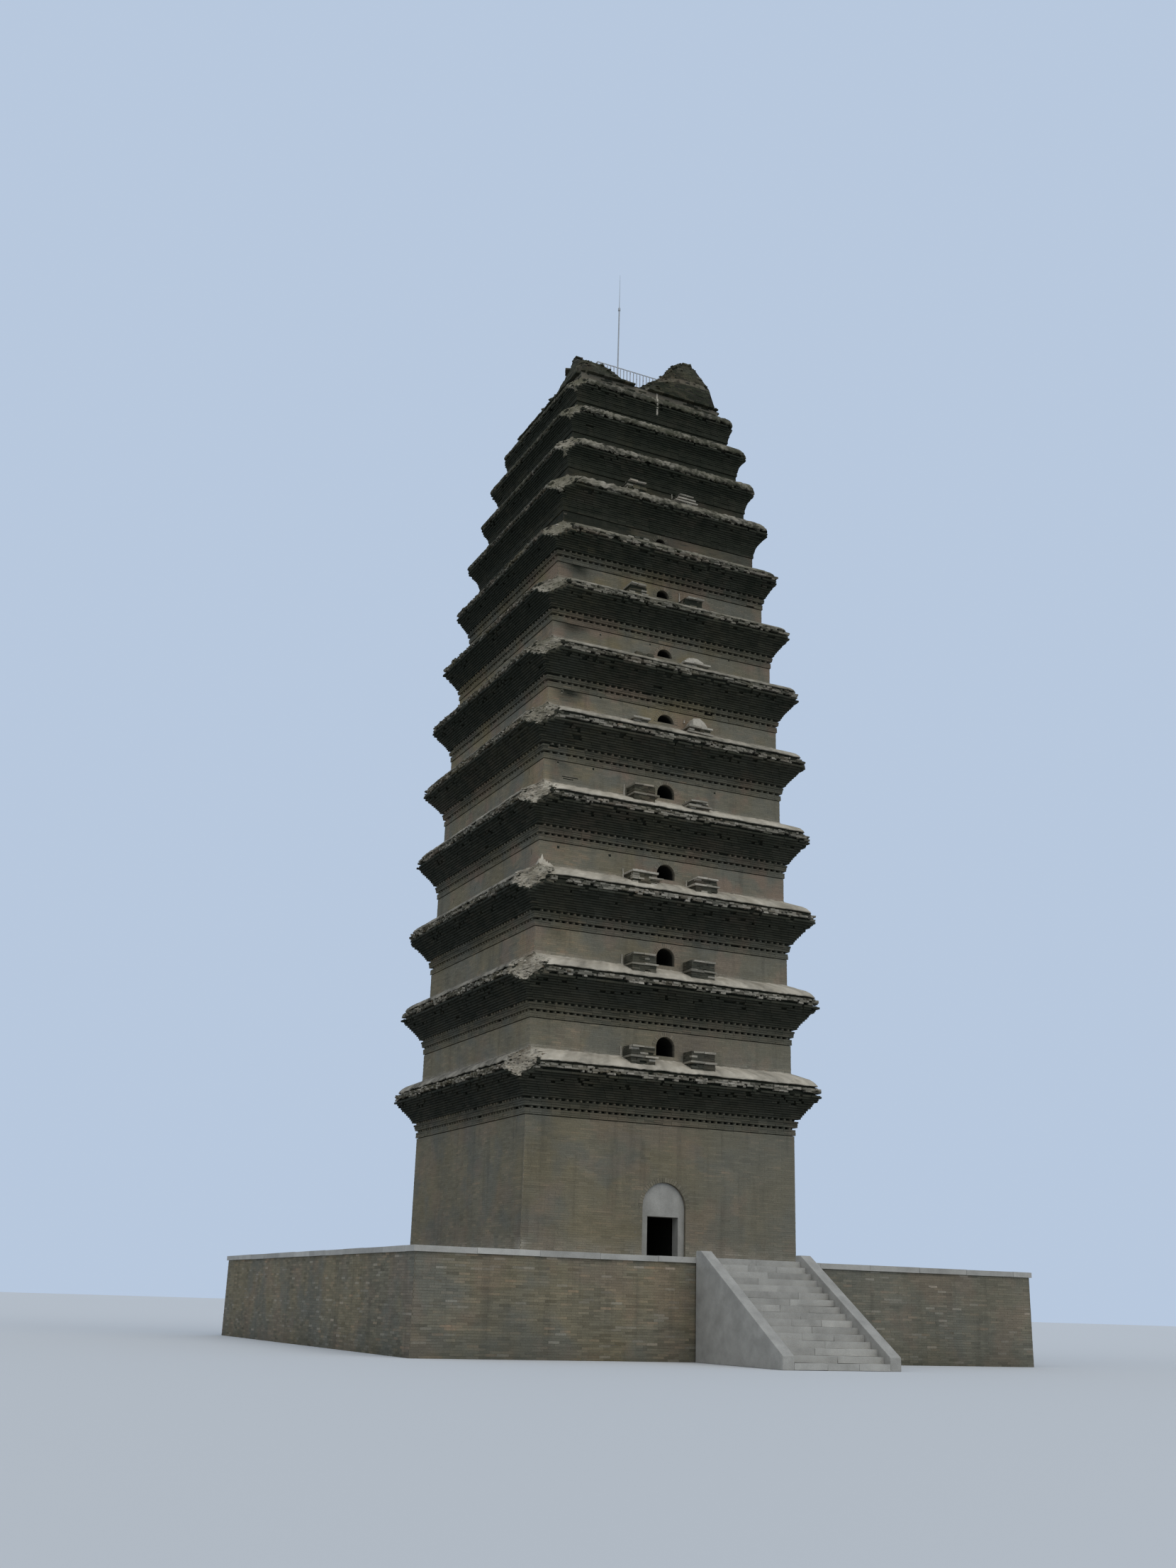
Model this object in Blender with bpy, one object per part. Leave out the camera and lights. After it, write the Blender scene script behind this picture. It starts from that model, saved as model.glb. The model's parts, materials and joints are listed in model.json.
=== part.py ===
"""A square brick pagoda with close-set corbelled eaves and a broken top, at half its real size.

Metres, +Z up. The origin is on the ground, under the middle of the plinth. The front, with the
steps, the door and the windows that the photograph shows, looks along -Y.
"""

import math

import bmesh
import bpy
from mathutils import Vector

# Joints between stacked pieces
SEAT = 0.0003            # gap left between two pieces that rest on each other

# Plinth and its two flights of steps
PLINTH_HALF = 5.845      # half of the plinth's side
PLINTH_HEIGHT = 1.51     # brick body of the plinth
COPING_HEIGHT = 0.09     # stone slabs on top of it
COPING_OVERHANG = 0.04
STEP_COUNT = 16
STEP_TREAD = 0.16
STEPS_WIDTH = 1.70
CHEEK_WIDTH = 0.20       # sloping stone kerb beside the steps
CHEEK_RISE = 0.10        # height of the kerb above the step noses

# Brickwork
COURSE = 0.04            # one brick and its bed joint
WORN_CORNER = 0.010      # small chamfer on every brick corner

# Hollow of the tower
SHAFT_HALF = 1.05        # half of the square hollow inside the walls
FLOOR_LEDGE = 0.06       # what each eave ring stands in, to carry a floor
FLOOR_THICKNESS = 0.05
FLOOR_CLEARANCE = 0.004  # around the edge of a timber floor

# Storeys, from the ground up: wall half widths, eave overhangs and courses
WALL_HALVES = (2.845, 2.810, 2.770, 2.735, 2.690, 2.645, 2.560, 2.440, 2.300, 2.165, 2.040, 1.890)
EAVE_OVERHANGS = (0.430, 0.445, 0.455, 0.425, 0.430, 0.400, 0.350, 0.290, 0.280, 0.205, 0.190, 0.130)
FIRST_LIP_LEVEL = 4.79   # underside of the lowest eave's edge, above the ground
LIP_PITCHES = (1.750, 1.725, 1.685, 1.635, 1.520, 1.440, 1.360, 1.190, 1.050, 0.925, 0.845)
CORBEL_COURSES = (14, 14, 14, 14, 13, 13, 12, 11, 9, 7, 6, 5)
RETURN_COURSES = (9, 9, 9, 9, 9, 8, 7, 7, 7, 6, 6, 5)
LIP_COURSES = 2          # thickness of the eave's edge
KNEE_RUN = 0.66          # where the eave's top turns steeper, as a share of its run from the wall
KNEE_DROP = 0.38         # how far it has dropped there, as a share of its drop to the lip
CORBEL_POWER = 1.6       # how late the corbelling swings out
CORBEL_FACETS = 7

# Courses under the corbels: string, dog-tooth, string, dog-tooth, string
BAND_COURSES = 5
STRING_PROUD = 0.020     # first string course, past the wall
STRING_STEP = 0.012      # what each later string adds
TOOTH_SETBACK = 0.022    # dog-tooth course, behind the string below it

# Corners of the eaves: how far up and out the broken face runs from the wall's corner
BROKEN_SLOPE = 0.75      # run of the break along the diagonal for each metre down
BROKEN_CORNER = (-1, -1)
CHIPPED_CORNER = 0.10    # lip corner lost at the other three corners
CHIP_POWER = 1.5         # how fast that chip fades towards the wall

# Stepped brick blocks that stand on the eaves, on both sides of the windows
BLOCK_CENTRE = 0.64      # from the middle of the face
BLOCK_HALF = 0.25
BLOCK_REACH = 0.78       # share of the eave's run that a block covers
BLOCK_SHELF = 0.03       # height and overhang of each ledge
BLOCK_SETBACK = 0.05     # each tier behind the ledge under it
BLOCK_RISES = (          # height of the left and right block over the wall's foot, from the second storey up
    (0.20, 0.20), (0.20, 0.20), (0.10, 0.16), (0.21, 0.13), (0.09, 0.21),
    (0.09, 0.15), (0.16, 0.21), (0.12, 0.09), (0.19, 0.20),
)

# Windows, front and back, from the second storey up
WINDOW_HALVES = (0.200, 0.200, 0.200, 0.195, 0.190, 0.170, 0.145, 0.120)
WINDOW_SILL = 0.09       # above the wall's foot
WINDOW_HEAD = 0.09       # plain wall left over the arch
FIRST_WINDOW_STOREY = 2
ARCH_SEGMENTS = 12

# Doorways through the first storey, front and back
DOOR_HALF = 0.45
DOOR_SPRING = 0.95       # from the sill to the arch's springing
FRAME_DEPTH = 0.22
FRAME_JAMB = 0.13
FRAME_LINTEL = 0.16
FRAME_SILL = 0.06
FRAME_SETBACK = 0.05     # frame's face behind the wall's face

# Broken top: a low ring of wall, whose upper face rises to the inside, and two masses that stand on it
TOP_WALL_HALF = 1.74
TOP_WALL_OUTER = 0.20    # its height at the outer edge
TOP_WALL_INNER = 0.42    # and where the roof slab rests
RUIN_INNER_HALF = 1.20   # inner face of the masses
RUIN_SETBACK = 0.03      # foot of the masses, behind the wall's face
RUIN_BELLY = 0.32        # how far a mass has leaned in at half its height
RUIN_CREST_DIP = 0.04    # inner edge of the crest, below the outer one
ROOF_THICKNESS = 0.08
ROOF_CLEARANCE = 0.010

# Crest of each mass, as (side, place along it, thickness there, height over the wall's foot)
LEFT_CREST = (
    ("front", -0.38, 0.22, 0.43), ("front", -0.64, 0.22, 0.51), ("front", -0.74, 0.22, 0.61),
    ("front", -0.92, 0.22, 0.68), ("front", -1.15, 0.22, 0.74), ("front corner", -1, 0.23, 0.74),
    ("side", -1.10, 0.35, 0.93), ("side", -0.87, 0.35, 1.11), ("side", -0.80, 0.35, 0.86),
    ("side", -0.52, 0.35, 0.88), ("side", -0.45, 0.35, 0.79), ("side", -0.18, 0.35, 0.73),
    ("side", 0.00, 0.35, 0.61), ("side", 0.50, 0.35, 0.56), ("side", 1.00, 0.35, 0.51),
    ("back corner", -1, 0.30, 0.51), ("back", -0.90, 0.22, 0.51), ("back", -0.40, 0.22, 0.48),
)
RIGHT_CREST = (
    ("front", -0.09, 0.12, 0.53), ("front", 0.07, 0.12, 0.66), ("front", 0.37, 0.10, 0.87),
    ("front", 0.54, 0.10, 1.07), ("front", 0.62, 0.10, 1.21), ("front", 0.79, 0.10, 1.39),
    ("front", 1.04, 0.10, 1.51), ("front corner", 1, 0.13, 1.46), ("side", -0.80, 0.14, 1.38),
    ("side", -0.40, 0.16, 1.18), ("side", 0.00, 0.18, 0.98), ("side", 0.40, 0.20, 0.87),
    ("side", 0.80, 0.20, 0.79), ("back corner", 1, 0.20, 0.76), ("back", 0.90, 0.20, 0.71),
    ("back", 0.50, 0.20, 0.63), ("back", 0.10, 0.22, 0.51),
)

# Railing on the roof
RAIL_GAP = 0.19          # from the masses' inner face
RAIL_HEIGHT = 0.62
RAIL_BAR = 0.016
RAIL_BAYS = 24
RAIL_CLEARANCE = 0.006   # between two panels at a corner

# Lightning rod
ROD_BASE_HALF = 0.11
ROD_BASE_HEIGHT = 0.03
ROD_LOWER_RADIUS = 0.016
ROD_UPPER_RADIUS = 0.008
ROD_COLLAR_RADIUS = 0.028
ROD_COLLAR_HEIGHT = 0.07
ROD_LOWER_HEIGHT = 2.915
ROD_UPPER_HEIGHT = 0.955
ROD_SIDES = 12


def material(name, colour, roughness, metallic=0.0):
    """A Principled material of one colour."""
    made = bpy.data.materials.new(name)
    made.use_nodes = True
    shader = made.node_tree.nodes["Principled BSDF"]
    shader.inputs["Base Color"].default_value = (*colour, 1.0)
    shader.inputs["Roughness"].default_value = roughness
    shader.inputs["Metallic"].default_value = metallic
    return made


def mesh_object(name, bm, finish):
    """A scene object from a bmesh, in triangles, so that none is bent, with its normals facing out."""
    bmesh.ops.triangulate(bm, faces=bm.faces)
    bmesh.ops.recalc_face_normals(bm, faces=bm.faces)
    mesh = bpy.data.meshes.new(name)
    bm.to_mesh(mesh)
    bm.free()
    made = bpy.data.objects.new(name, mesh)
    bpy.context.scene.collection.objects.link(made)
    if finish:
        mesh.materials.append(finish)
    return made


def loops_to_solid(bm, loops, closed):
    """Skins a row of equal point loops: closed into a ring, or capped at both ends."""
    rows = [[bm.verts.new(point) for point in loop] for loop in loops]
    pairs = list(zip(rows, rows[1:] + rows[:1])) if closed else list(zip(rows, rows[1:]))
    for low, high in pairs:
        count = len(low)
        for i in range(count):
            j = (i + 1) % count
            bm.faces.new((low[i], low[j], high[j], high[i]))
    if not closed:
        bm.faces.new(rows[0][::-1])
        bm.faces.new(rows[-1])


def box(bm, low, high):
    """A closed box between two corners."""
    (x0, y0, z0), (x1, y1, z1) = low, high
    loops = [[(x0, y0, z), (x1, y0, z), (x1, y1, z), (x0, y1, z)] for z in (z0, z1)]
    loops_to_solid(bm, loops, closed=False)


def prism_along(bm, outline, start, end, axis):
    """A closed prism: an outline of (across, up) points pushed from start to end along X or Y."""
    def placed(point, depth):
        across, up = point
        return (depth, across, up) if axis == "X" else (across, depth, up)
    loops_to_solid(bm, [[placed(p, d) for p in outline] for d in (start, end)], closed=False)


def square_outline(half, level, cuts):
    """Eight points of a square with each corner cut off; cuts maps (sx, sy) to the length lost."""
    points = []
    for sx, sy in ((-1, -1), (1, -1), (1, 1), (-1, 1)):
        cut = cuts[(sx, sy)]
        along_x = (sx * (half - cut), sy * half, level)
        along_y = (sx * half, sy * (half - cut), level)
        points += [along_y, along_x] if sx == sy else [along_x, along_y]
    return points


def even_cuts(length):
    return {(sx, sy): length for sx in (-1, 1) for sy in (-1, 1)}


def arch_outline(half, sill, spring):
    """A round-headed opening's outline, as (across, up) points; a sill over the springing cuts the arch."""
    lowest = math.asin(min(max((sill - spring) / half, 0.0), 1.0))
    points = []
    if sill < spring:
        points += [(-half, sill), (half, sill)]
    for i in range(ARCH_SEGMENTS + 1):
        turn = lowest + (math.pi - 2 * lowest) * i / ARCH_SEGMENTS
        points.append((half * math.cos(turn), spring + half * math.sin(turn)))
    return points


def combine(target, other, operation):
    """Cuts one object by another or joins that other one to it; the other one is hidden."""
    other.hide_render = True
    other.display_type = "WIRE"
    modifier = target.modifiers.new(other.name, "BOOLEAN")
    modifier.operation = operation
    modifier.object = other


# Levels that several pieces share

def coping_top():
    return PLINTH_HEIGHT + COPING_HEIGHT


def lip_level(storey):
    """Underside of the eave's edge of a storey, counted from 1."""
    return FIRST_LIP_LEVEL + sum(LIP_PITCHES[:storey - 1])


def soffit_height(storey):
    return (BAND_COURSES + CORBEL_COURSES[storey - 1]) * COURSE


def wall_top(storey):
    return lip_level(storey) - soffit_height(storey)


def eave_top(storey):
    return lip_level(storey) + (LIP_COURSES + RETURN_COURSES[storey - 1]) * COURSE


def wall_base(storey):
    return coping_top() if storey == 1 else eave_top(storey - 1)


def wall_half(storey):
    return WALL_HALVES[storey - 1] if storey <= len(WALL_HALVES) else TOP_WALL_HALF


def build_plinth(brick, stone):
    bm = bmesh.new()
    box(bm, (-PLINTH_HALF, -PLINTH_HALF, 0), (PLINTH_HALF, PLINTH_HALF, PLINTH_HEIGHT))
    mesh_object("plinth", bm, brick)
    edge = PLINTH_HALF + COPING_OVERHANG
    bm = bmesh.new()
    box(bm, (-edge, -edge, PLINTH_HEIGHT + SEAT), (edge, edge, coping_top()))
    mesh_object("plinth_coping", bm, stone)


def build_steps(side, facing, stone):
    """One flight against the plinth, with a sloping kerb on each side; facing is -1 or 1 along Y."""
    face = PLINTH_HALF + COPING_OVERHANG + SEAT
    rise = coping_top() / STEP_COUNT
    run = STEP_COUNT * STEP_TREAD
    outline = [(facing * face, 0), (facing * (face + run), 0)]
    for i in range(STEP_COUNT):
        level = (i + 1) * rise
        outline.append((facing * (face + run - i * STEP_TREAD), level))
        outline.append((facing * (face + run - (i + 1) * STEP_TREAD), level))
    bm = bmesh.new()
    prism_along(bm, outline, -STEPS_WIDTH / 2, STEPS_WIDTH / 2, "X")
    mesh_object(f"{side}_steps", bm, stone)
    top = coping_top() + CHEEK_RISE
    kerb = [
        (facing * face, 0),
        (facing * (face + run), 0),
        (facing * (face + run), CHEEK_RISE + rise),
        (facing * (face + STEP_TREAD), top),
        (facing * face, top),
    ]
    for word, sign in (("left", -1), ("right", 1)):
        inner = sign * (STEPS_WIDTH / 2 + SEAT)
        outer = sign * (STEPS_WIDTH / 2 + CHEEK_WIDTH)
        bm = bmesh.new()
        prism_along(bm, kerb, inner, outer, "X")
        mesh_object(f"{side}_steps_{word}_kerb", bm, stone)


def build_first_storey(brick):
    """Four thick walls; the front and back ones have an arched doorway."""
    half = wall_half(1)
    low, high = wall_base(1) + SEAT, wall_top(1)
    for name, facing in (("storey_1_front_wall", -1), ("storey_1_back_wall", 1)):
        near, far = sorted((facing * half, facing * SHAFT_HALF))
        bm = bmesh.new()
        box(bm, (-half, near, low), (half, far, high))
        wall = mesh_object(name, bm, brick)
        bm = bmesh.new()
        sill = low - COURSE
        outline = arch_outline(DOOR_HALF, sill, wall_base(1) + DOOR_SPRING)
        prism_along(bm, outline, near - COURSE, far + COURSE, "Y")
        combine(wall, mesh_object(name + "_opening", bm, None), "DIFFERENCE")
    reach = SHAFT_HALF - SEAT
    for name, sign in (("storey_1_left_wall", -1), ("storey_1_right_wall", 1)):
        near, far = sorted((sign * half, sign * SHAFT_HALF))
        bm = bmesh.new()
        box(bm, (near, -reach, low), (far, reach, high))
        mesh_object(name, bm, brick)


def build_door_frame(side, facing, stone):
    """Sill, jambs, lintel and the slab that fills the arch, cut from one outline."""
    sill = wall_base(1) + SEAT
    spring = wall_base(1) + DOOR_SPRING
    outer = DOOR_HALF - SEAT
    inner = outer - FRAME_JAMB
    front = facing * (wall_half(1) - FRAME_SETBACK)
    back = front - facing * FRAME_DEPTH
    near, far = sorted((front, back))
    bm = bmesh.new()
    prism_along(bm, arch_outline(outer, sill, spring), near, far, "Y")
    frame = mesh_object(f"{side}_door_frame", bm, stone)
    bm = bmesh.new()
    box(bm, (-inner, near - COURSE, sill + FRAME_SILL), (inner, far + COURSE, spring - FRAME_LINTEL))
    combine(frame, mesh_object(f"{side}_door_frame_opening", bm, None), "DIFFERENCE")


def last_window_storey():
    return FIRST_WINDOW_STOREY + len(WINDOW_HALVES) - 1


def build_wall(storey, brick):
    """A square ring of wall, with an arched window front and back in the storeys that have one."""
    half = wall_half(storey)
    low, high = wall_base(storey) + SEAT, wall_top(storey)
    cuts = even_cuts(WORN_CORNER)
    bm = bmesh.new()
    loops = [
        square_outline(half, low, cuts),
        square_outline(half, high, cuts),
        square_outline(SHAFT_HALF, high, cuts),
        square_outline(SHAFT_HALF, low, cuts),
    ]
    loops_to_solid(bm, loops, closed=True)
    wall = mesh_object(f"storey_{storey}_wall", bm, brick)
    if storey <= last_window_storey():
        window = WINDOW_HALVES[storey - FIRST_WINDOW_STOREY]
        outline = arch_outline(window, wall_base(storey) + WINDOW_SILL, high - WINDOW_HEAD - window)
        bm = bmesh.new()
        prism_along(bm, outline, -half - COURSE, half + COURSE, "Y")
        combine(wall, mesh_object(f"storey_{storey}_window_opening", bm, None), "DIFFERENCE")


def eave_profile(storey):
    """Outer profile of an eave as (half, level), from the wall's top to the next wall's foot."""
    wall, level = wall_half(storey), wall_top(storey)
    points = []
    proud = STRING_PROUD
    for band in range(BAND_COURSES):
        string = band % 2 == 0
        offset = proud if string else proud - TOOTH_SETBACK
        points += [(wall + offset, level + band * COURSE), (wall + offset, level + (band + 1) * COURSE)]
        if string:
            proud += STRING_STEP
    start = points[-1][0]
    foot = level + BAND_COURSES * COURSE
    lip = wall + EAVE_OVERHANGS[storey - 1]
    for i in range(1, CORBEL_FACETS + 1):
        share = i / CORBEL_FACETS
        points.append((
            start + (lip - start) * share ** CORBEL_POWER,
            foot + (lip_level(storey) - foot) * share,
        ))
    lip_top = lip_level(storey) + LIP_COURSES * COURSE
    foot_half, foot_level = wall_half(storey + 1), eave_top(storey)
    points.append((lip, lip_top))
    points.append((foot_half + (lip - foot_half) * KNEE_RUN, foot_level - (foot_level - lip_top) * KNEE_DROP))
    points.append((foot_half, foot_level))
    return points


def eave_cuts(half, level, storey):
    """Corners lost at one level: a sloping break at one corner, small chips at the others."""
    wall = wall_half(storey + 1)
    lip = wall_half(storey) + EAVE_OVERHANGS[storey - 1]
    outward = (half - wall_half(storey)) / (lip - wall_half(storey))
    chip = max(WORN_CORNER, CHIPPED_CORNER * max(outward, 0.0) ** CHIP_POWER)
    cuts = even_cuts(chip)
    diagonal = math.sqrt(2) * wall + BROKEN_SLOPE * (eave_top(storey) - level)
    cuts[BROKEN_CORNER] = max(WORN_CORNER, 2 * half - math.sqrt(2) * diagonal)
    return cuts


def build_eave(storey, brick):
    """The corbelled ring over a wall, with its broken corner."""
    profile = eave_profile(storey)
    bottom = wall_top(storey) + SEAT
    top = eave_top(storey)
    profile[0] = (profile[0][0], bottom)
    loops = [square_outline(half, z, eave_cuts(half, z, storey)) for half, z in profile]
    inner = SHAFT_HALF - FLOOR_LEDGE
    loops += [square_outline(inner, z, even_cuts(WORN_CORNER)) for z in (top, bottom)]
    bm = bmesh.new()
    loops_to_solid(bm, loops, closed=True)
    eave = mesh_object(f"storey_{storey}_eave", bm, brick)
    above = storey + 1 - FIRST_WINDOW_STOREY
    if above < len(BLOCK_RISES):
        combine(eave, build_blocks(storey, BLOCK_RISES[above]), "UNION")


def build_blocks(storey, rises):
    """The stepped blocks on an eave: each is a stack of tiers with a ledge, its back against the next wall."""
    wall, foot = wall_half(storey + 1) + SEAT, eave_top(storey)
    run = wall_half(storey) + EAVE_OVERHANGS[storey - 1] - wall
    reach = run * BLOCK_REACH
    bm = bmesh.new()
    for facing in (-1, 1):
        for sign, rise in zip((facing, -facing), rises):
            tiers = [
                (0.0, lip_level(storey) + COURSE),
                (0.0, foot - 2 * BLOCK_SHELF),
                (-BLOCK_SHELF, foot - BLOCK_SHELF),
                (-BLOCK_SHELF, foot),
                (BLOCK_SETBACK, foot + BLOCK_SHELF / 2),
                (BLOCK_SETBACK, foot + rise - 2 * BLOCK_SHELF),
                (BLOCK_SETBACK - BLOCK_SHELF, foot + rise - BLOCK_SHELF),
                (2 * BLOCK_SETBACK, foot + rise),
            ]
            loops = []
            for inset, level in tiers:
                x0, x1 = (sign * BLOCK_CENTRE + side * (BLOCK_HALF - inset) for side in (-1, 1))
                near, far = facing * wall, facing * (wall + reach - inset)
                loops.append([(x0, near, level), (x1, near, level), (x1, far, level), (x0, far, level)])
            loops_to_solid(bm, loops, closed=False)
    return mesh_object(f"storey_{storey}_eave_blocks", bm, None)


def build_floor(storey, timber):
    """Boards on the ledge of the eave below, inside the walls of this storey."""
    half = SHAFT_HALF - FLOOR_CLEARANCE
    low = wall_base(storey) + SEAT
    bm = bmesh.new()
    loops = [square_outline(half, z, even_cuts(2 * WORN_CORNER)) for z in (low, low + FLOOR_THICKNESS)]
    loops_to_solid(bm, loops, closed=False)
    mesh_object(f"storey_{storey}_floor", bm, timber)


def top_storey():
    return len(WALL_HALVES) + 1


def top_wall_face(half):
    """Level of the top wall's upper face at a distance from the middle."""
    foot = wall_base(top_storey())
    outward = max(half - RUIN_INNER_HALF, 0.0) / (TOP_WALL_HALF - RUIN_INNER_HALF)
    return foot + TOP_WALL_INNER + (TOP_WALL_OUTER - TOP_WALL_INNER) * outward


def build_top_wall(brick):
    """What is left of the last storey: a low ring, broken off higher inside than outside."""
    low = wall_base(top_storey()) + SEAT
    cuts = even_cuts(WORN_CORNER)
    profile = [(TOP_WALL_HALF, low)]
    profile += [(half, top_wall_face(half)) for half in (TOP_WALL_HALF, RUIN_INNER_HALF, SHAFT_HALF)]
    profile += [(SHAFT_HALF, low)]
    bm = bmesh.new()
    loops_to_solid(bm, [square_outline(half, level, cuts) for half, level in profile], closed=True)
    mesh_object(f"storey_{top_storey()}_wall", bm, brick)


def ruin_section(crest_half, crest_level):
    """Cross-section of a standing mass as (distance from the middle, level), from its outer foot over the top."""
    foot_half = TOP_WALL_HALF - RUIN_SETBACK
    outer_foot = top_wall_face(foot_half) + SEAT
    inner_foot = top_wall_face(RUIN_INNER_HALF) + SEAT
    return [
        (foot_half, outer_foot),
        (foot_half + (crest_half - foot_half) * RUIN_BELLY, (outer_foot + crest_level) / 2),
        (crest_half, crest_level),
        (RUIN_INNER_HALF + (crest_half - RUIN_INNER_HALF) / 3, crest_level - RUIN_CREST_DIP),
        (RUIN_INNER_HALF, inner_foot),
    ]


def build_ruin(name, sign, crest, brick):
    """A mass standing on one side of the top, from the notch in front round to the notch at the back."""
    loops = []
    for side, place, thickness, rise in crest:
        loop = []
        for half, level in ruin_section(RUIN_INNER_HALF + thickness, wall_base(top_storey()) + rise):
            if side == "side":
                x, y = sign * half, place
            else:
                x = sign * half if side.endswith("corner") else place
                y = -half if side.startswith("front") else half
            loop.append((x, y, level))
        loops.append(loop)
    bm = bmesh.new()
    loops_to_solid(bm, loops, closed=False)
    mesh_object(name, bm, brick)


def build_roof(stone):
    """The flat slab inside the broken top."""
    half = RUIN_INNER_HALF - ROOF_CLEARANCE
    low = top_wall_face(RUIN_INNER_HALF) + SEAT
    bm = bmesh.new()
    box(bm, (-half, -half, low), (half, half, low + ROOF_THICKNESS))
    mesh_object("roof_slab", bm, stone)


def roof_level():
    return top_wall_face(RUIN_INNER_HALF) + SEAT + ROOF_THICKNESS


def lattice_panel(bm, across_edges, up_edges, solid, place, thickness):
    """A flat panel from a grid of cells: the solid cells are extruded and only their skin is kept."""
    columns, rows = len(across_edges) - 1, len(up_edges) - 1
    verts = {}

    def vert(i, j, side):
        key = (i, j, side)
        if key not in verts:
            verts[key] = bm.verts.new(place(across_edges[i], up_edges[j], side * thickness / 2))
        return verts[key]

    def filled(i, j):
        return 0 <= i < columns and 0 <= j < rows and solid(i, j)

    for i in range(columns):
        for j in range(rows):
            if not filled(i, j):
                continue
            for side in (-1, 1):
                corners = [(i, j), (i + 1, j), (i + 1, j + 1), (i, j + 1)]
                bm.faces.new([vert(a, b, side) for a, b in corners])
            edges = [
                ((i, j), (i + 1, j), (i, j - 1)),
                ((i, j + 1), (i + 1, j + 1), (i, j + 1)),
                ((i, j), (i, j + 1), (i - 1, j)),
                ((i + 1, j), (i + 1, j + 1), (i + 1, j)),
            ]
            for first, second, neighbour in edges:
                if not filled(*neighbour):
                    bm.faces.new((vert(*first, -1), vert(*second, -1), vert(*second, 1), vert(*first, 1)))


def build_railing(side, metal):
    """One panel of the roof's railing: posts, a top rail and a bottom rail."""
    line = RUIN_INNER_HALF - RAIL_GAP
    reach = line + RAIL_BAR / 2
    if side in ("left", "right"):
        reach -= RAIL_BAR + RAIL_CLEARANCE
    across = []
    for i in range(RAIL_BAYS + 1):
        centre = -reach + RAIL_BAR / 2 + (2 * reach - RAIL_BAR) * i / RAIL_BAYS
        across += [centre - RAIL_BAR / 2, centre + RAIL_BAR / 2]
    low = roof_level() + SEAT
    foot, head = low + RAIL_HEIGHT * 0.12, low + RAIL_HEIGHT
    up = [low, foot, foot + RAIL_BAR, head - RAIL_BAR, head]

    def solid(i, j):
        return i % 2 == 0 or j in (1, 3)

    def place(a, u, t):
        if side in ("front", "back"):
            return (a, (-line if side == "front" else line) + t, u)
        return ((-line if side == "left" else line) + t, a, u)

    bm = bmesh.new()
    lattice_panel(bm, across, up, solid, place, RAIL_BAR)
    mesh_object(f"{side}_railing", bm, metal)


def build_rod(metal):
    """Square base plate, thick lower tube, collar and thin upper rod, turned as one profile."""
    low = roof_level() + SEAT
    top_of_base = low + ROD_BASE_HEIGHT
    collar = top_of_base + ROD_LOWER_HEIGHT
    tip = collar + ROD_COLLAR_HEIGHT + ROD_UPPER_HEIGHT
    profile = [
        (ROD_BASE_HALF, low),
        (ROD_BASE_HALF, top_of_base),
        (ROD_LOWER_RADIUS, top_of_base + ROD_BASE_HEIGHT),
        (ROD_LOWER_RADIUS, collar),
        (ROD_COLLAR_RADIUS, collar),
        (ROD_COLLAR_RADIUS, collar + ROD_COLLAR_HEIGHT),
        (ROD_UPPER_RADIUS, collar + ROD_COLLAR_HEIGHT),
        (ROD_UPPER_RADIUS / 3, tip),
    ]
    loops = []
    for radius, level in profile:
        turns = [2 * math.pi * i / ROD_SIDES for i in range(ROD_SIDES)]
        loops.append([Vector((radius * math.cos(a), radius * math.sin(a), level)) for a in turns])
    bm = bmesh.new()
    loops_to_solid(bm, loops, closed=False)
    mesh_object("lightning_rod", bm, metal)


def main():
    for old in list(bpy.data.objects):
        bpy.data.objects.remove(old)
    brick = material("grey_brick", (0.24, 0.22, 0.19), 0.9)
    stone = material("pale_stone", (0.45, 0.43, 0.39), 0.8)
    timber = material("old_timber", (0.22, 0.14, 0.08), 0.75)
    metal = material("grey_metal", (0.35, 0.36, 0.37), 0.45, 0.8)
    build_plinth(brick, stone)
    for side, facing in (("front", -1), ("back", 1)):
        build_steps(side, facing, stone)
        build_door_frame(side, facing, stone)
    build_first_storey(brick)
    for storey in range(1, top_storey()):
        if storey > 1:
            build_wall(storey, brick)
        build_eave(storey, brick)
    for storey in range(FIRST_WINDOW_STOREY, last_window_storey() + 1):
        build_floor(storey, timber)
    build_top_wall(brick)
    build_ruin("summit_left_mass", -1, LEFT_CREST, brick)
    build_ruin("summit_right_mass", 1, RIGHT_CREST, brick)
    build_roof(stone)
    for side in ("front", "back", "left", "right"):
        build_railing(side, metal)
    build_rod(metal)


main()
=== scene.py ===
"""Looks of the brick pagoda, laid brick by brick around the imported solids.

Metres, +Z up, the front along -Y.
"""

import json
import math
from itertools import pairwise

import bmesh
import bpy
import numpy as np
from mathutils import Matrix, Vector


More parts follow.
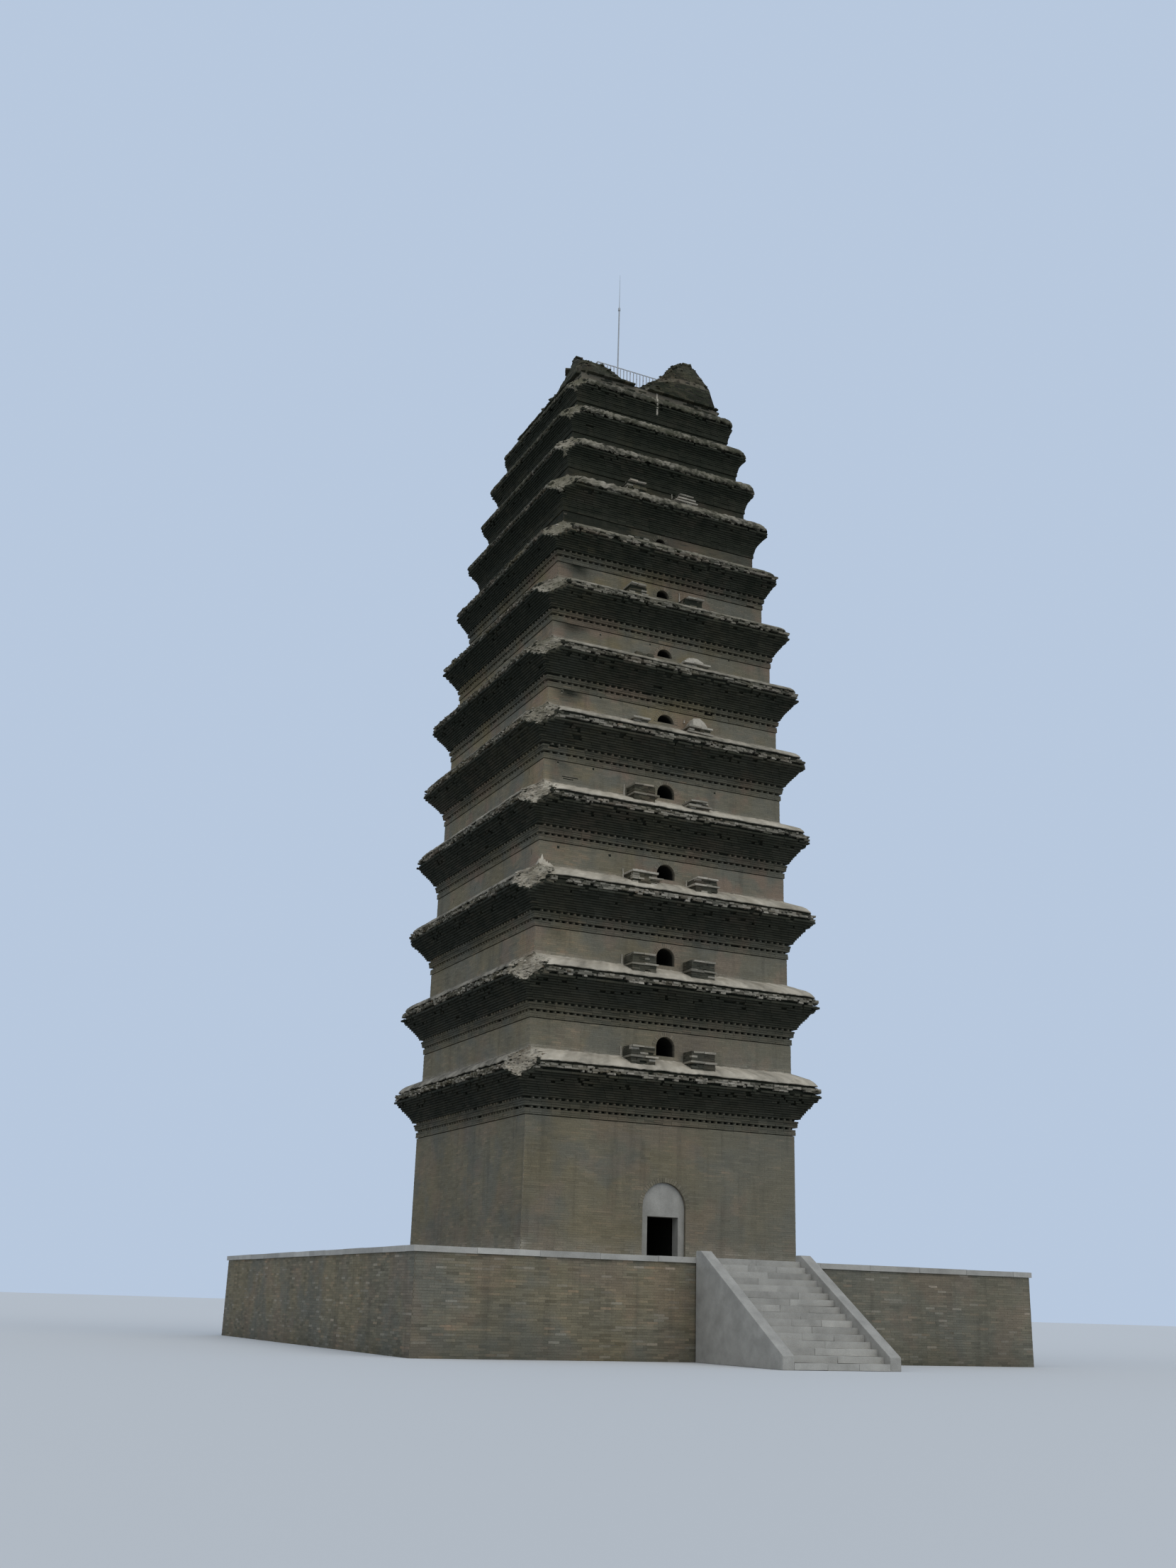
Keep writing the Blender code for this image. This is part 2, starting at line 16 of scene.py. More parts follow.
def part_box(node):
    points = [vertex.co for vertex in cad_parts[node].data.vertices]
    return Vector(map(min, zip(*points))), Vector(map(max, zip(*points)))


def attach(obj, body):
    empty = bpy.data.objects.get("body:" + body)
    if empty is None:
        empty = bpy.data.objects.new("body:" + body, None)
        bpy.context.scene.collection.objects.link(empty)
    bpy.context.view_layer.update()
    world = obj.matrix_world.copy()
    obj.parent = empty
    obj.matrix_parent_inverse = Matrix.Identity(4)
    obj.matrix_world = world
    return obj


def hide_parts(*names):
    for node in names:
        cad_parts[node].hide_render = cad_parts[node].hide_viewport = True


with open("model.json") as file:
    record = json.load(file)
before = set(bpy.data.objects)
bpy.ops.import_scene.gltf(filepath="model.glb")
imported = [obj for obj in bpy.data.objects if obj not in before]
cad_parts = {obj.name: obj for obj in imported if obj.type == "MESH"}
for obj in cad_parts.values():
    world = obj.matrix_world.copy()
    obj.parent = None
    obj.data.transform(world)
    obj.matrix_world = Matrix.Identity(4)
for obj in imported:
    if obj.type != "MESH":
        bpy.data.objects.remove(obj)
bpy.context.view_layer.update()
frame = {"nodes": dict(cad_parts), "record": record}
rng = np.random.default_rng(1307)
normal, uniform, chance = rng.normal, rng.uniform, rng.random

# Brickwork, at half its real size
COURSE = 0.04
JOINT = 0.0030
UPRIGHT = 0.0022
BRICK = 0.19
DEPTH = 0.10
SKIN = 0.02
SEAT = 0.0003
STOREYS = 13

# Eaves, from the ground up: corbel courses under the lip, then what all eaves share
CORBELS = (14, 14, 14, 14, 13, 13, 12, 11, 9, 7, 6, 5)
BAND = 5
STRINGS = 3
LIPS = 2
STRING_PROUD = 0.020
STRING_STEP = 0.012
STRING_GAP = 0.011
CORBEL_POWER = 1.6
KNEE_RUN = 0.66
KNEE_DROP = 0.38
BREAK_SLOPE = 0.75
BREAK_DEPTH = 0.13
CHIP = 0.10
SHAFT = 1.05
LEDGE = 0.06
GROOVE = 0.06
GROOVE_INSET = 0.055
GROOVE_COURSES = 3
LIP_LIFT = 0.014
TOOTH_PITCH = 0.1365
TOOTH_SIZE = 0.37
WIDE_TEETH = {5: 0.1455}

# Courses over the wall's top that are laid cornerwise, on the first eaves
TOOTH_COURSES = 5 * ((3, 7),) + 3 * ((3, 6),)

# First eaves whose broken corner is soft, that are worn all round and that end in a crust of earth; the one
# broken off widest; the one with lime on the wall over it; and the wall with painted shade on its left
FIRST_SOFT = 7
FIRST_WORN = 8
FIRST_CRUSTED = 9
WIDEST_BREAK = 10
SMEARED = 3
DARK_ON_LEFT = 9

# Painted shade: a near-black finish for what lies deep in a hole; and the wear of faces that stay flat
PAINTED_HOLE_SHADE = (0.2, 0, 1, 0)
FLAT = 0.0001

# The lip's courses, from below: share of bricks lost, share lost in runs, length of the bricks and how
# many of them are bright
LIP_COURSES = ((0.30, 0.85, 0.55, 0.75), (0.02, 0.05, 0.75, 0.60), (0.04, 0.12, 0.55, 0.50))
LIP_RAGGED = 0.03
LIP_DEPTH = DEPTH + 0.03

# Broken pieces on each side's lip, and levels of the masonry behind the corbels
CRUMBS = (30, 30, 30, 120)
CORE_LEVELS = 7

# How dark the walls and soffits are, from soot together with painted shade under the eaves, and for each eave
# how high over the lip its lime wash ends and how grimy the wash and the rubble of its broken corner are
WALL_SOOT_AND_SHADE = (0.06, 0.06, 0.05, 0.05, 0.05, 0.05, 0.11, 0.20, 0.52, 0.84, 0.90, 0.92, 0.72)
SOFFIT_SOOT_AND_SHADE = (0.86, 0.86, 0.88, 0.87, 0.85, 0.90, 0.91, 0.93, 0.93, 0.96, 0.97, 0.97)
WASH_EDGE = (0.120, 0.120, 0.120, 0.142, 0.140, 0.118, 0.100, 0.075, 0.030, 0.012, 0.012, 0.012)
WASH_GRIME = (0.42, 0.42, 0.38, 0.28, 0.48, 0.54, 0.60, 0.66, 0.70, 0.78, 0.80, 0.97)
RUBBLE_GRIME = (0.56, 0.56, 0.52, 0.50, 0.60, 0.62, 0.66, 0.60, 0.58, 0.50, 0.66, 0.64)

# How strong the soot beside the near corner is on each storey's front wall
STAIN = (0.2, 0.2, 0.3, 0.35, 0.45, 1.05, 1.0, 0.9, 0.5)

# Windows
WINDOW_HALVES = (0.200, 0.200, 0.200, 0.195, 0.190, 0.170, 0.145, 0.120)
WINDOW_SILL = 0.09
WINDOW_HEAD = 0.09
DOOR_HALF = 0.45
DOOR_SPRING = 0.95
ARCH_RING = 0.085

# Blocks on the eaves, by the storey above them: low and high end along the face, level of the body over
# the wall's foot, ledges as (low end, high end, level of its top), lime dome as (low end, high end,
# height) and roughness from 0 to 1
NEAT = ((-0.90, -0.38), 0.16, ((-0.92, -0.35, 0.0), (-0.89, -0.42, 0.19)), None, 0.1)
NEAT_RIGHT = ((0.38, 0.90), 0.16, ((0.35, 0.92, 0.0), (0.42, 0.89, 0.19)), None, 0.1)
BLOCK_REACH = 0.78
BLOCKS = {
    2: (NEAT, NEAT_RIGHT),
    3: (NEAT, NEAT_RIGHT),
    4: (
        ((-0.92, -0.37), 0.05, ((-0.93, -0.36, 0.085),), (-0.88, -0.52, 0.06), 0.2),
        ((0.48, 0.98), 0.11, ((0.45, 1.00, 0.0), (0.50, 0.96, 0.14)), None, 0.2),
    ),
    5: (
        ((-0.88, -0.42), 0.15, ((-0.904, -0.336, -0.005), (-0.887, -0.466, 0.185)), None, 0.0),
        ((0.37, 0.82), 0.01, ((0.317, 0.86, -0.06), (0.38, 0.76, 0.045)), None, 0.3),
    ),
    6: (
        ((-0.90, -0.56), -0.08, ((-0.935, -0.54, -0.048),), (-0.90, -0.60, 0.07), 0.5),
        ((0.36, 0.87), -0.02, ((0.315, 0.91, -0.115), (0.345, 0.90, 0.005)), (0.43, 0.84, 0.25), 0.2),
    ),
    7: (
        ((-0.86, -0.42), -0.10, (), None, 0.4),
        ((0.30, 0.85), -0.08, ((0.27, 0.88, -0.05),), (0.32, 0.83, 0.16), 0.3),
    ),
    8: (
        ((-0.96, -0.51), 0.07, ((-0.94, -0.60, 0.10),), None, 0.9),
        ((0.33, 0.81), 0.05, ((0.40, 0.80, 0.08),), None, 0.9),
    ),
    9: (
        ((-0.95, -0.41), -0.04, (), None, 1.0),
        ((0.40, 0.86), -0.11, (), None, 1.0),
    ),
    10: (
        ((-0.92, -0.41), 0.11, ((-0.86, -0.46, 0.13),), None, 0.7),
        ((0.25, 0.80), 0.06, ((0.25, 0.80, -0.05), (0.31, 0.76, 0.03), (0.36, 0.70, 0.11)), None, 0.6),
    ),
}

# Upright slabs at the blocks' edges: place along the face, low and high level over the wall's foot
FINS = {
    2: ((-0.95, -0.05, 0.20), (0.95, -0.05, 0.20)),
    3: ((-0.95, -0.05, 0.20), (0.95, -0.05, 0.20)),
    4: ((-0.950, -0.03, 0.175), (0.456, -0.03, 0.135)),
    5: ((-0.944, -0.03, 0.235), (0.45, -0.03, 0.12)),
    6: ((0.423, 0.16, 0.235),),
    7: ((0.36, -0.06, 0.02),),
    8: ((0.39, 0.0, 0.30),),
    10: ((-0.80, -0.03, 0.24), (0.33, -0.03, 0.26)),
}

# Holes in the face of the walls: side, place along it, low and high level, width
FRONT, RIGHT, BACK, LEFT = SIDES = range(4)
HOLES = {
    4: {
        FRONT: ((-2.340, 9.08, 9.13, 0.05), (-1.239, 9.08, 9.13, 0.055)),
        RIGHT: ((-1.3, 9.08, 9.13, 0.05), (1.1, 9.08, 9.13, 0.05)),
        BACK: ((0.9, 9.08, 9.13, 0.05),),
        LEFT: ((-1.74, 8.90, 9.00, 0.018), (-0.52, 8.92, 9.01, 0.018), (2.38, 8.98, 9.09, 0.020)),
    },
    5: {
        FRONT: (
            (-1.622, 10.80, 10.85, 0.04), (-2.390, 10.81, 10.85, 0.04), (1.131, 10.77, 10.81, 0.04),
            (-2.12, 10.55, 10.57, 0.34), (-2.16, 10.51, 10.53, 0.22),
        ),
        BACK: ((-1.2, 10.8, 10.85, 0.04),),
        LEFT: ((2.0, 10.72, 10.84, 0.018), (0.4, 10.70, 10.82, 0.016)),
    },
    6: {
        FRONT: (
            (-2.339, 12.33, 12.37, 0.04), (-1.486, 12.36, 12.40, 0.05), (-0.400, 12.37, 12.41, 0.04),
            (1.476, 12.40, 12.43, 0.04),
        ),
        RIGHT: ((-1.2, 12.35, 12.39, 0.05),),
        BACK: ((1.4, 12.35, 12.39, 0.05),),
    },
    7: {
        FRONT: ((-1.488, 13.77, 13.80, 0.035), (-0.343, 13.80, 13.83, 0.035), (1.544, 13.83, 13.87, 0.035)),
        RIGHT: ((0.8, 13.8, 13.84, 0.035),),
        LEFT: ((-0.9, 13.8, 13.84, 0.035),),
    },
}

# Outward and along directions of the four sides: front, right, back, left
OUTWARD = np.array([(0, -1, 0), (1, 0, 0), (0, 1, 0), (-1, 0, 0)], float)
ALONG = np.array([(1, 0, 0), (0, 1, 0), (-1, 0, 0), (0, -1, 0)], float)
UP = np.array((0, 0, 1.0))

# A box's faces, and for each of its corners at which of its ends along the three axes it is
BOX_FACES = np.array([(0, 4, 6, 2), (1, 3, 7, 5), (0, 1, 5, 4), (2, 6, 7, 3), (0, 2, 3, 1), (4, 5, 7, 6)])
CORNER_BITS = np.array([[k & 1, k >> 1 & 1, k >> 2 & 1] for k in range(8)], bool)


def place(side, points):
    """Points given as (outward, along, up) of a side, in the row frame."""
    p = np.asarray(points, float)
    return p[..., :1] * OUTWARD[side] + p[..., 1:2] * ALONG[side] + p[..., 2:] * UP


def stack(*parts):
    """Numbers and arrays side by side along a new last axis, each stretched to one shape."""
    return np.stack(np.broadcast_arrays(*parts), -1)


def show(name, data):
    """An object of the scene for a mesh, a lamp or a camera."""
    made = bpy.data.objects.new(name, data)
    bpy.context.scene.collection.objects.link(made)
    return made


def carry(name, mesh, finish, replaced=()):
    """A piece of the scene, which rides on the body of the part."""
    mesh.materials.append(finish)
    made = show(name, mesh)
    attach(made, "root")
    if replaced:
        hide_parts(*replaced)


def bell(x, width):
    """1 at 0, and fading to 0 on both sides."""
    return np.exp(-(x / width) ** 2)


class Heap:
    """Closed shells gathered into one mesh. Each point has a finish: tone, pale, soot and moss; the soot
    value holds painted shade too.
    """

    def __init__(self):
        self.points, self.faces, self.finish, self.count = [], [], [], 0

    def add(self, points, quads, finish):
        self.points.append(points)
        self.faces.append(quads + self.count)
        self.finish.append(np.broadcast_to(np.asarray(finish, float), (len(points), 4)))
        self.count += len(points)

    def boxes(self, corners, finish):
        """Corners is (count, 8, 3) in the row frame; the finish is for all, each box or each corner."""
        count = len(corners)
        quads = np.repeat(BOX_FACES[None], count, axis=0)
        turned = np.linalg.det(corners[:, (1, 2, 4)] - corners[:, :1]) < 0
        quads[turned] = quads[turned][:, :, ::-1]
        quads = quads + 8 * np.arange(count)[:, None, None]
        finish = np.asarray(finish, float)
        if finish.ndim < 3:
            finish = np.broadcast_to(finish.reshape(-1, 1, 4), (count, 8, 4))
        self.add(corners.reshape(-1, 3), quads.reshape(-1, 4), finish.reshape(-1, 4))

    def shell(self, points, quads, finish):
        """One closed shell, turned so that its faces look outwards."""
        a, b, c, d = (points[quads[:, k]] for k in range(4))
        volume = (np.cross(a, b) * c).sum() + (np.cross(a, c) * d).sum()
        self.add(points, quads if volume > 0 else quads[:, ::-1], finish)

    def bricks(self, side, low, high, finish, wear=0.0016, turn=0.0, tip=0.0):
        """Bricks between low and high corners given as (outward, along, up), a little worn and turned."""
        low, high = np.atleast_2d(low), np.atleast_2d(high)
        corners = np.where(CORNER_BITS, high[:, None], low[:, None])
        corners = corners + np.clip(normal(0, wear, corners.shape), -2 * wear, 2 * wear)
        centre = corners.mean(axis=1, keepdims=True)
        local = corners - centre
        for amount, i, j in ((turn, 0, 1), (tip, 1, 2), (tip, 0, 2)):
            if amount:
                angle = normal(0, amount, (len(corners), 1))
                c, s, a, b = np.cos(angle), np.sin(angle), local[..., i], local[..., j]
                local[..., i], local[..., j] = a * c - b * s, a * s + b * c
        self.boxes(place(side, local + centre), finish)

    def ring(self, loops, finish):
        """Point loops of equal length skinned into a closed ring, as the profile goes round outside-in."""
        loops = np.asarray(loops, float)
        a = np.arange(loops[..., 0].size).reshape(loops.shape[:2])
        b = np.roll(a, -1, axis=0)
        quads = stack(a, np.roll(a, -1, 1), np.roll(b, -1, 1), b).reshape(-1, 4)
        self.shell(loops.reshape(-1, 3), quads, finish)

    def sheet(self, top, bottom, finish):
        """A closed slab between two grids of points, both (rows, columns, 3); top faces the outside."""
        count = top[..., 0].size
        grid = np.arange(count).reshape(top.shape[:2])
        upper = stack(grid[:-1, :-1], grid[:-1, 1:], grid[1:, 1:], grid[1:, :-1]).reshape(-1, 4)
        rim = np.concatenate([grid[0, :], grid[1:, -1], grid[-1, -2::-1], grid[-2:0:-1, 0]])
        around = np.roll(rim, -1)
        wall = stack(around, rim, rim + count, around + count)
        quads = np.concatenate([upper, upper[:, ::-1] + count, wall])
        self.shell(np.concatenate([top, bottom]).reshape(-1, 3), quads, finish)

    def build(self, name, finish=None, replaced=(), smooth=False):
        """All the shells as one piece of the scene, of brick where no other finish is given."""
        points, quads = np.concatenate(self.points), np.concatenate(self.faces)
        mesh = bpy.data.meshes.new(name)
        mesh.vertices.add(len(points))
        mesh.vertices.foreach_set("co", points.astype(np.float32).ravel())
        mesh.loops.add(quads.size)
        mesh.loops.foreach_set("vertex_index", quads.astype(np.int32).ravel())
        mesh.polygons.add(len(quads))
        mesh.polygons.foreach_set("loop_start", np.arange(0, quads.size, 4, dtype=np.int32))
        mesh.polygons.foreach_set("loop_total", np.full(len(quads), 4, np.int32))
        mesh.update(calc_edges=True)
        mesh.validate()
        colours = mesh.attributes.new("finish", "FLOAT_COLOR", "POINT")
        colours.data.foreach_set("color", np.concatenate(self.finish).clip(0, 1).astype(np.float32).ravel())
        mesh.polygons.foreach_set("use_smooth", np.full(len(quads), smooth))
        carry(name, mesh, finish or BRICKWORK, replaced)


# Materials

MATT = 0.1

# A half width so large that all of a solid is as dark as what lies deep behind a wall's face, painted shade
# all over it
ALL_DARK = 60.0


class Nodes:
    """A material's node tree, with short calls for what the finishes share."""

    def __init__(self, name):
        self.material = bpy.data.materials.new(name)
        self.material.use_nodes = True
        self.tree = self.material.node_tree
        self.shader = self.tree.nodes["Principled BSDF"]
        self.where = self.tree.nodes.new("ShaderNodeTexCoord").outputs["Object"]
        self.normal = self.tree.nodes.new("ShaderNodeNewGeometry").outputs["Normal"]

    def set_inputs(self, node, inputs):
        for key, value in inputs.items():
            socket = node.inputs[key]
            if isinstance(value, bpy.types.NodeSocket):
                self.tree.links.new(value, socket)
            elif isinstance(value, tuple) and len(value) == 3 and socket.type == "RGBA":
                socket.default_value = (*value, 1.0)
            else:
                socket.default_value = value

    def node(self, kind, inputs, **settings):
        """The outputs of a new node, whose inputs are given by name or place as sockets or values."""
        made = self.tree.nodes.new(kind)
        for key, value in settings.items():
            setattr(made, key, value)
        self.set_inputs(made, inputs)
        return made.outputs

    def math(self, operation, a, b=0.0, clamp=False):
        return self.node("ShaderNodeMath", {0: a, 1: b}, operation=operation, use_clamp=clamp)[0]

    def plus(self, a, b, clamp=False):
        return self.math("ADD", a, b, clamp)

    def minus(self, a, b):
        return self.math("SUBTRACT", a, b)

    def times(self, a, b, clamp=False):
        return self.math("MULTIPLY", a, b, clamp)

    def mix(self, factor, a, b, blend="MIX"):
        inputs = {"Factor": factor, 6: a, 7: b}
        return self.node("ShaderNodeMix", inputs, data_type="RGBA", blend_type=blend)[2]

    def scaled(self, scale):
        return self.node("ShaderNodeMapping", {"Vector": self.where, "Scale": scale})[0]

    def noise(self, scale, detail=4.0, rough=0.6, vector=None, shift=0.0):
        inputs = {
            "W": shift, "Vector": vector or self.where, "Scale": scale, "Detail": detail, "Roughness": rough,
        }
        return self.node("ShaderNodeTexNoise", inputs, noise_dimensions="4D")["Fac"]

    def ramp(self, value, stops):
        """Colours or levels over a value, as (position, colour or grey level) pairs."""
        node = self.tree.nodes.new("ShaderNodeValToRGB")
        elements = node.color_ramp.elements
        while len(elements) < len(stops):
            elements.new(0.5)
        for element, (position, colour) in zip(elements, stops):
            element.position = position
            element.color = (*(colour if isinstance(colour, tuple) else (colour,) * 3), 1.0)
        self.set_inputs(node, {0: value})
        return node.outputs["Color"]

    def step(self, value, low, high):
        """A smooth rise from 0 at low to 1 at high."""
        inputs = {"Value": value, "From Min": low, "From Max": high}
        return self.node("ShaderNodeMapRange", inputs, interpolation_type="SMOOTHSTEP")["Result"]

    def split(self, vector):
        return self.node("ShaderNodeSeparateXYZ", {0: vector})

    def bond(self, vector, colours, gap, smooth, length, height):
        """Bricks or boards in a bond, in two colours and a third between them."""
        names = ("Vector", "Color1", "Color2", "Mortar", "Scale")
        sizes = {"Mortar Size": gap, "Mortar Smooth": smooth, "Brick Width": length, "Row Height": height}
        return self.node("ShaderNodeTexBrick", {**dict(zip(names, (vector, *colours, 1.0))), **sizes})

    def finish_channels(self):
        """Tone, pale, soot and moss of a laid brick; the soot value holds painted shade too."""
        finish = self.node("ShaderNodeAttribute", {}, attribute_name="finish")
        parts = self.node("ShaderNodeSeparateColor", {0: finish["Color"]})
        return parts[0], parts[1], parts[2], finish["Alpha"]

    def done(self, colour, roughness, height=None, strength=0.4, distance=0.004, gloss=0.5):
        inputs = {"Base Color": colour, "Specular IOR Level": gloss, "Roughness": roughness}
        if height is not None:
            relief = {"Strength": strength, "Distance": distance, "Height": height}
            inputs["Normal"] = self.node("ShaderNodeBump", relief)[0]
        self.set_inputs(self.shader, inputs)
        return self.material


def brick_material():
    """Weathered grey-brown brick, whose finish is set brick by brick."""
    n = Nodes("weathered_brick")
    tone, pale, soot, moss = n.finish_channels()
    level = n.split(n.where)[2]
    broad = n.noise(0.75, 3.0, 0.55)
    medium = n.noise(4.5, 5.0, 0.62, shift=3.0)
    fine = n.noise(46.0, 4.0, 0.7, shift=7.0)
    streak = n.noise(2.2, 4.0, 0.6, n.scaled((2.4, 2.4, 0.22)), shift=11.0)
    mixed = n.plus(n.times(tone, 0.55), n.times(medium, 0.45))
    base = n.ramp(mixed, [
        (0.10, (0.100, 0.088, 0.062)),
        (0.38, (0.162, 0.145, 0.104)),
        (0.55, (0.200, 0.180, 0.128)),
        (0.70, (0.262, 0.212, 0.144)),
        (0.88, (0.350, 0.236, 0.152)),
    ])
    warm = n.times(n.step(broad, 0.42, 0.62), n.plus(0.30, n.times(n.step(level, 9.6, 12.6), 0.42)))
    base = n.mix(warm, base, (0.245, 0.190, 0.096))
    cool = n.step(n.noise(1.1, 3.0, 0.5, shift=21.0), 0.48, 0.62)
    cool = n.math("MAXIMUM", cool, n.times(n.step(n.split(n.where)[0], -0.4, 1.8), 0.70))
    base = n.mix(n.times(cool, 0.55), base, (0.150, 0.152, 0.130))
    pink = n.step(n.noise(1.5, 3.0, 0.5, shift=25.0), 0.50, 0.64)
    pink = n.times(pink, n.plus(0.25, n.times(n.step(level, 6.0, 9.0), 0.35)))
    base = n.mix(pink, base, (0.275, 0.188, 0.134))
    base = n.mix(n.times(n.step(streak, 0.50, 0.70), 0.30), base, (0.075, 0.069, 0.054))
    # Paler on upward faces: dust, and painted light from above on the tops
    facing_up = n.step(n.split(n.normal)[2], 0.35, 0.95)
    dust = n.times(facing_up, n.minus(1.0, n.times(moss, 0.65)))
    dust = n.times(dust, n.step(medium, 0.25, 0.60))
    pale_all = n.math("MAXIMUM", n.times(dust, 0.45), pale)
    spread = n.plus(pale_all, n.times(n.minus(fine, 0.5), n.times(pale_all, 0.9)))
    cream = n.ramp(n.plus(n.times(medium, 0.6), n.times(tone, 0.4)), [
        (0.25, (0.330, 0.298, 0.240)),
        (0.50, (0.500, 0.452, 0.370)),
        (0.75, (0.680, 0.615, 0.510)),
    ])
    base = n.mix(n.times(spread, 1.0, clamp=True), base, cream)
    # The soot value darkens towards near black: real soot, and painted shade where the finish carries it
    patchy = n.times(n.minus(medium, 0.5), n.times(soot, 0.30))
    grime = n.plus(soot, patchy, clamp=True)
    base = n.mix(grime, base, (0.0170, 0.0190, 0.0130))
    green = n.times(moss, n.step(n.noise(3.0, 5.0, 0.7, shift=31.0), 0.30, 0.62))
    green = n.times(green, n.plus(0.25, n.times(facing_up, 0.65)))
    base = n.mix(green, base, (0.062, 0.068, 0.038))
    shade = n.ramp(fine, [(0.25, 0.72), (0.55, 1.0), (0.8, 1.18)])
    base = n.mix(1.0, base, shade, "MULTIPLY")
    rough = n.plus(0.84, n.times(fine, 0.14))
    height = n.plus(fine, n.times(n.noise(14.0, 3.0, 0.6, shift=5.0), 1.4))
    return n.done(base, rough, height, 0.50, 0.005, MATT)


def core_material(name, half=None, soot=0.0):
    """Old lime mortar and brick, seen in joints; given a half, it is as dark as the wall's soot value (soot
    with painted shade), and behind the wall's face, at half, it turns near black as painted shade.
    """
    n = Nodes(name)
    x, y, z = n.split(n.where)
    nx, ny, _ = n.split(n.normal)
    across = n.plus(n.times(x, n.math("ABSOLUTE", ny)), n.times(y, n.math("ABSOLUTE", nx)))
    flat = n.node("ShaderNodeCombineXYZ", {0: across, 1: z})[0]
    # Given a half, only as light as the wall's soot value allows, which carries painted shade on the upper
    # storeys
    light = max(1.25 * (1 - soot) ** 1.6, 0.12) if half else 0.85
    colours = ((0.145, 0.128, 0.095), (0.190, 0.166, 0.122), (0.200, 0.180, 0.138))
    lit = [tuple(light * c for c in colour) for colour in colours]
    bond = n.bond(flat, lit, gap=JOINT / 2, smooth=0.3, length=BRICK, height=COURSE)
    medium = n.noise(5.0, 5.0, 0.62, shift=2.0)
    fine = n.noise(60.0, 3.0, 0.7, shift=4.0)
    base = n.mix(n.times(n.step(medium, 0.40, 0.70), 0.45), bond["Color"], (0.120, 0.108, 0.082))
    if half:
        # Near black deep behind the wall's face: painted shade in the window reveals and the shaft
        inside = n.minus(half, n.math("MAXIMUM", n.math("ABSOLUTE", x), n.math("ABSOLUTE", y)))
        base = n.mix(n.times(n.step(inside, 0.015, 0.12), 0.93), base, (0.012, 0.012, 0.010))
    base = n.mix(1.0, base, n.ramp(fine, [(0.25, 0.70), (0.75, 1.15)]), "MULTIPLY")
    height = n.minus(n.times(fine, 0.5), bond["Fac"])
    return n.done(base, n.plus(0.86, n.times(fine, 0.1)), height, 0.5, 0.004, MATT)


def mortar_material():
    """Lime and dust washed over the eave tops."""
    n = Nodes("lime_wash")
    tone, earth, soot, moss = n.finish_channels()
    broad = n.noise(1.6, 4.0, 0.6, shift=1.0)
    medium = n.noise(9.0, 5.0, 0.65, shift=6.0)
    fine = n.noise(70.0, 4.0, 0.7, shift=9.0)
    mixed = n.plus(n.times(tone, 0.35), n.times(medium, 0.65))
    base = n.ramp(mixed, [
        (0.20, (0.340, 0.298, 0.225)),
        (0.42, (0.560, 0.500, 0.395)),
        (0.60, (0.690, 0.620, 0.500)),
        (0.85, (0.800, 0.735, 0.620)),
    ])
    base = n.mix(n.times(n.step(broad, 0.50, 0.72), 0.40), base, (0.340, 0.285, 0.200))
    base = n.mix(n.times(earth, n.step(medium, 0.30, 0.60)), base, (0.265, 0.195, 0.130))
    patchy = n.times(n.minus(medium, 0.5), n.times(soot, 1.5))
    grime = n.plus(soot, patchy, clamp=True)
    base = n.mix(grime, base, (0.036, 0.034, 0.025))
    green = n.times(moss, n.step(broad, 0.30, 0.60))
    base = n.mix(n.times(green, 0.70), base, (0.080, 0.080, 0.044))
    base = n.mix(1.0, base, n.ramp(fine, [(0.25, 0.75), (0.55, 1.0), (0.8, 1.15)]), "MULTIPLY")
    height = n.plus(n.times(fine, 0.6), n.times(medium, 1.2))
    return n.done(base, n.plus(0.86, n.times(fine, 0.12)), height, 0.55, 0.007, MATT)


def stone_material(name, onset, share, dirt):
    """Grey stone with stains of the colour dirt, which cover more of it the lower their onset is."""
    n = Nodes(name)
    tone, _, soot, _ = n.finish_channels()
    medium = n.noise(3.5, 6.0, 0.62, shift=2.0)
    speck = n.noise(120.0, 2.0, 0.6, shift=5.0)
    stain = n.noise(1.1, 4.0, 0.6, n.scaled((1.0, 1.0, 0.35)), shift=8.0)
    mixed = n.plus(n.times(tone, 0.30), n.times(medium, 0.70))
    base = n.ramp(mixed, [
        (0.22, (0.235, 0.225, 0.198)),
        (0.50, (0.365, 0.350, 0.312)),
        (0.78, (0.475, 0.455, 0.405)),
    ])
    base = n.mix(n.times(n.step(stain, onset, onset + 0.22), share), base, dirt)
    base = n.mix(n.times(soot, 0.7), base, (0.060, 0.058, 0.048))
    base = n.mix(1.0, base, n.ramp(speck, [(0.3, 0.80), (0.5, 1.0), (0.72, 1.12)]), "MULTIPLY")
    height = n.plus(speck, n.times(n.noise(22.0, 3.0, 0.6, shift=3.0), 1.3))
    return n.done(base, n.plus(0.66, n.times(medium, 0.22)), height, 0.35, 0.004)


def timber_material():
    """Old floor boards, laid along X."""
    n = Nodes("old_boards")
    colours = ((0.150, 0.096, 0.056), (0.225, 0.150, 0.090), (0.030, 0.020, 0.012))
    bond = n.bond(n.where, colours, gap=0.002, smooth=0.1, length=1.4, height=0.10)
    grain = n.noise(12.0, 6.0, 0.65, n.scaled((0.6, 8.0, 8.0)), shift=1.0)
    base = n.mix(1.0, bond["Color"], n.ramp(grain, [(0.3, 0.62), (0.7, 1.2)]), "MULTIPLY")
    height = n.minus(n.times(grain, 0.6), bond["Fac"])
    return n.done(base, n.plus(0.62, n.times(grain, 0.25)), height, 0.4, 0.003)


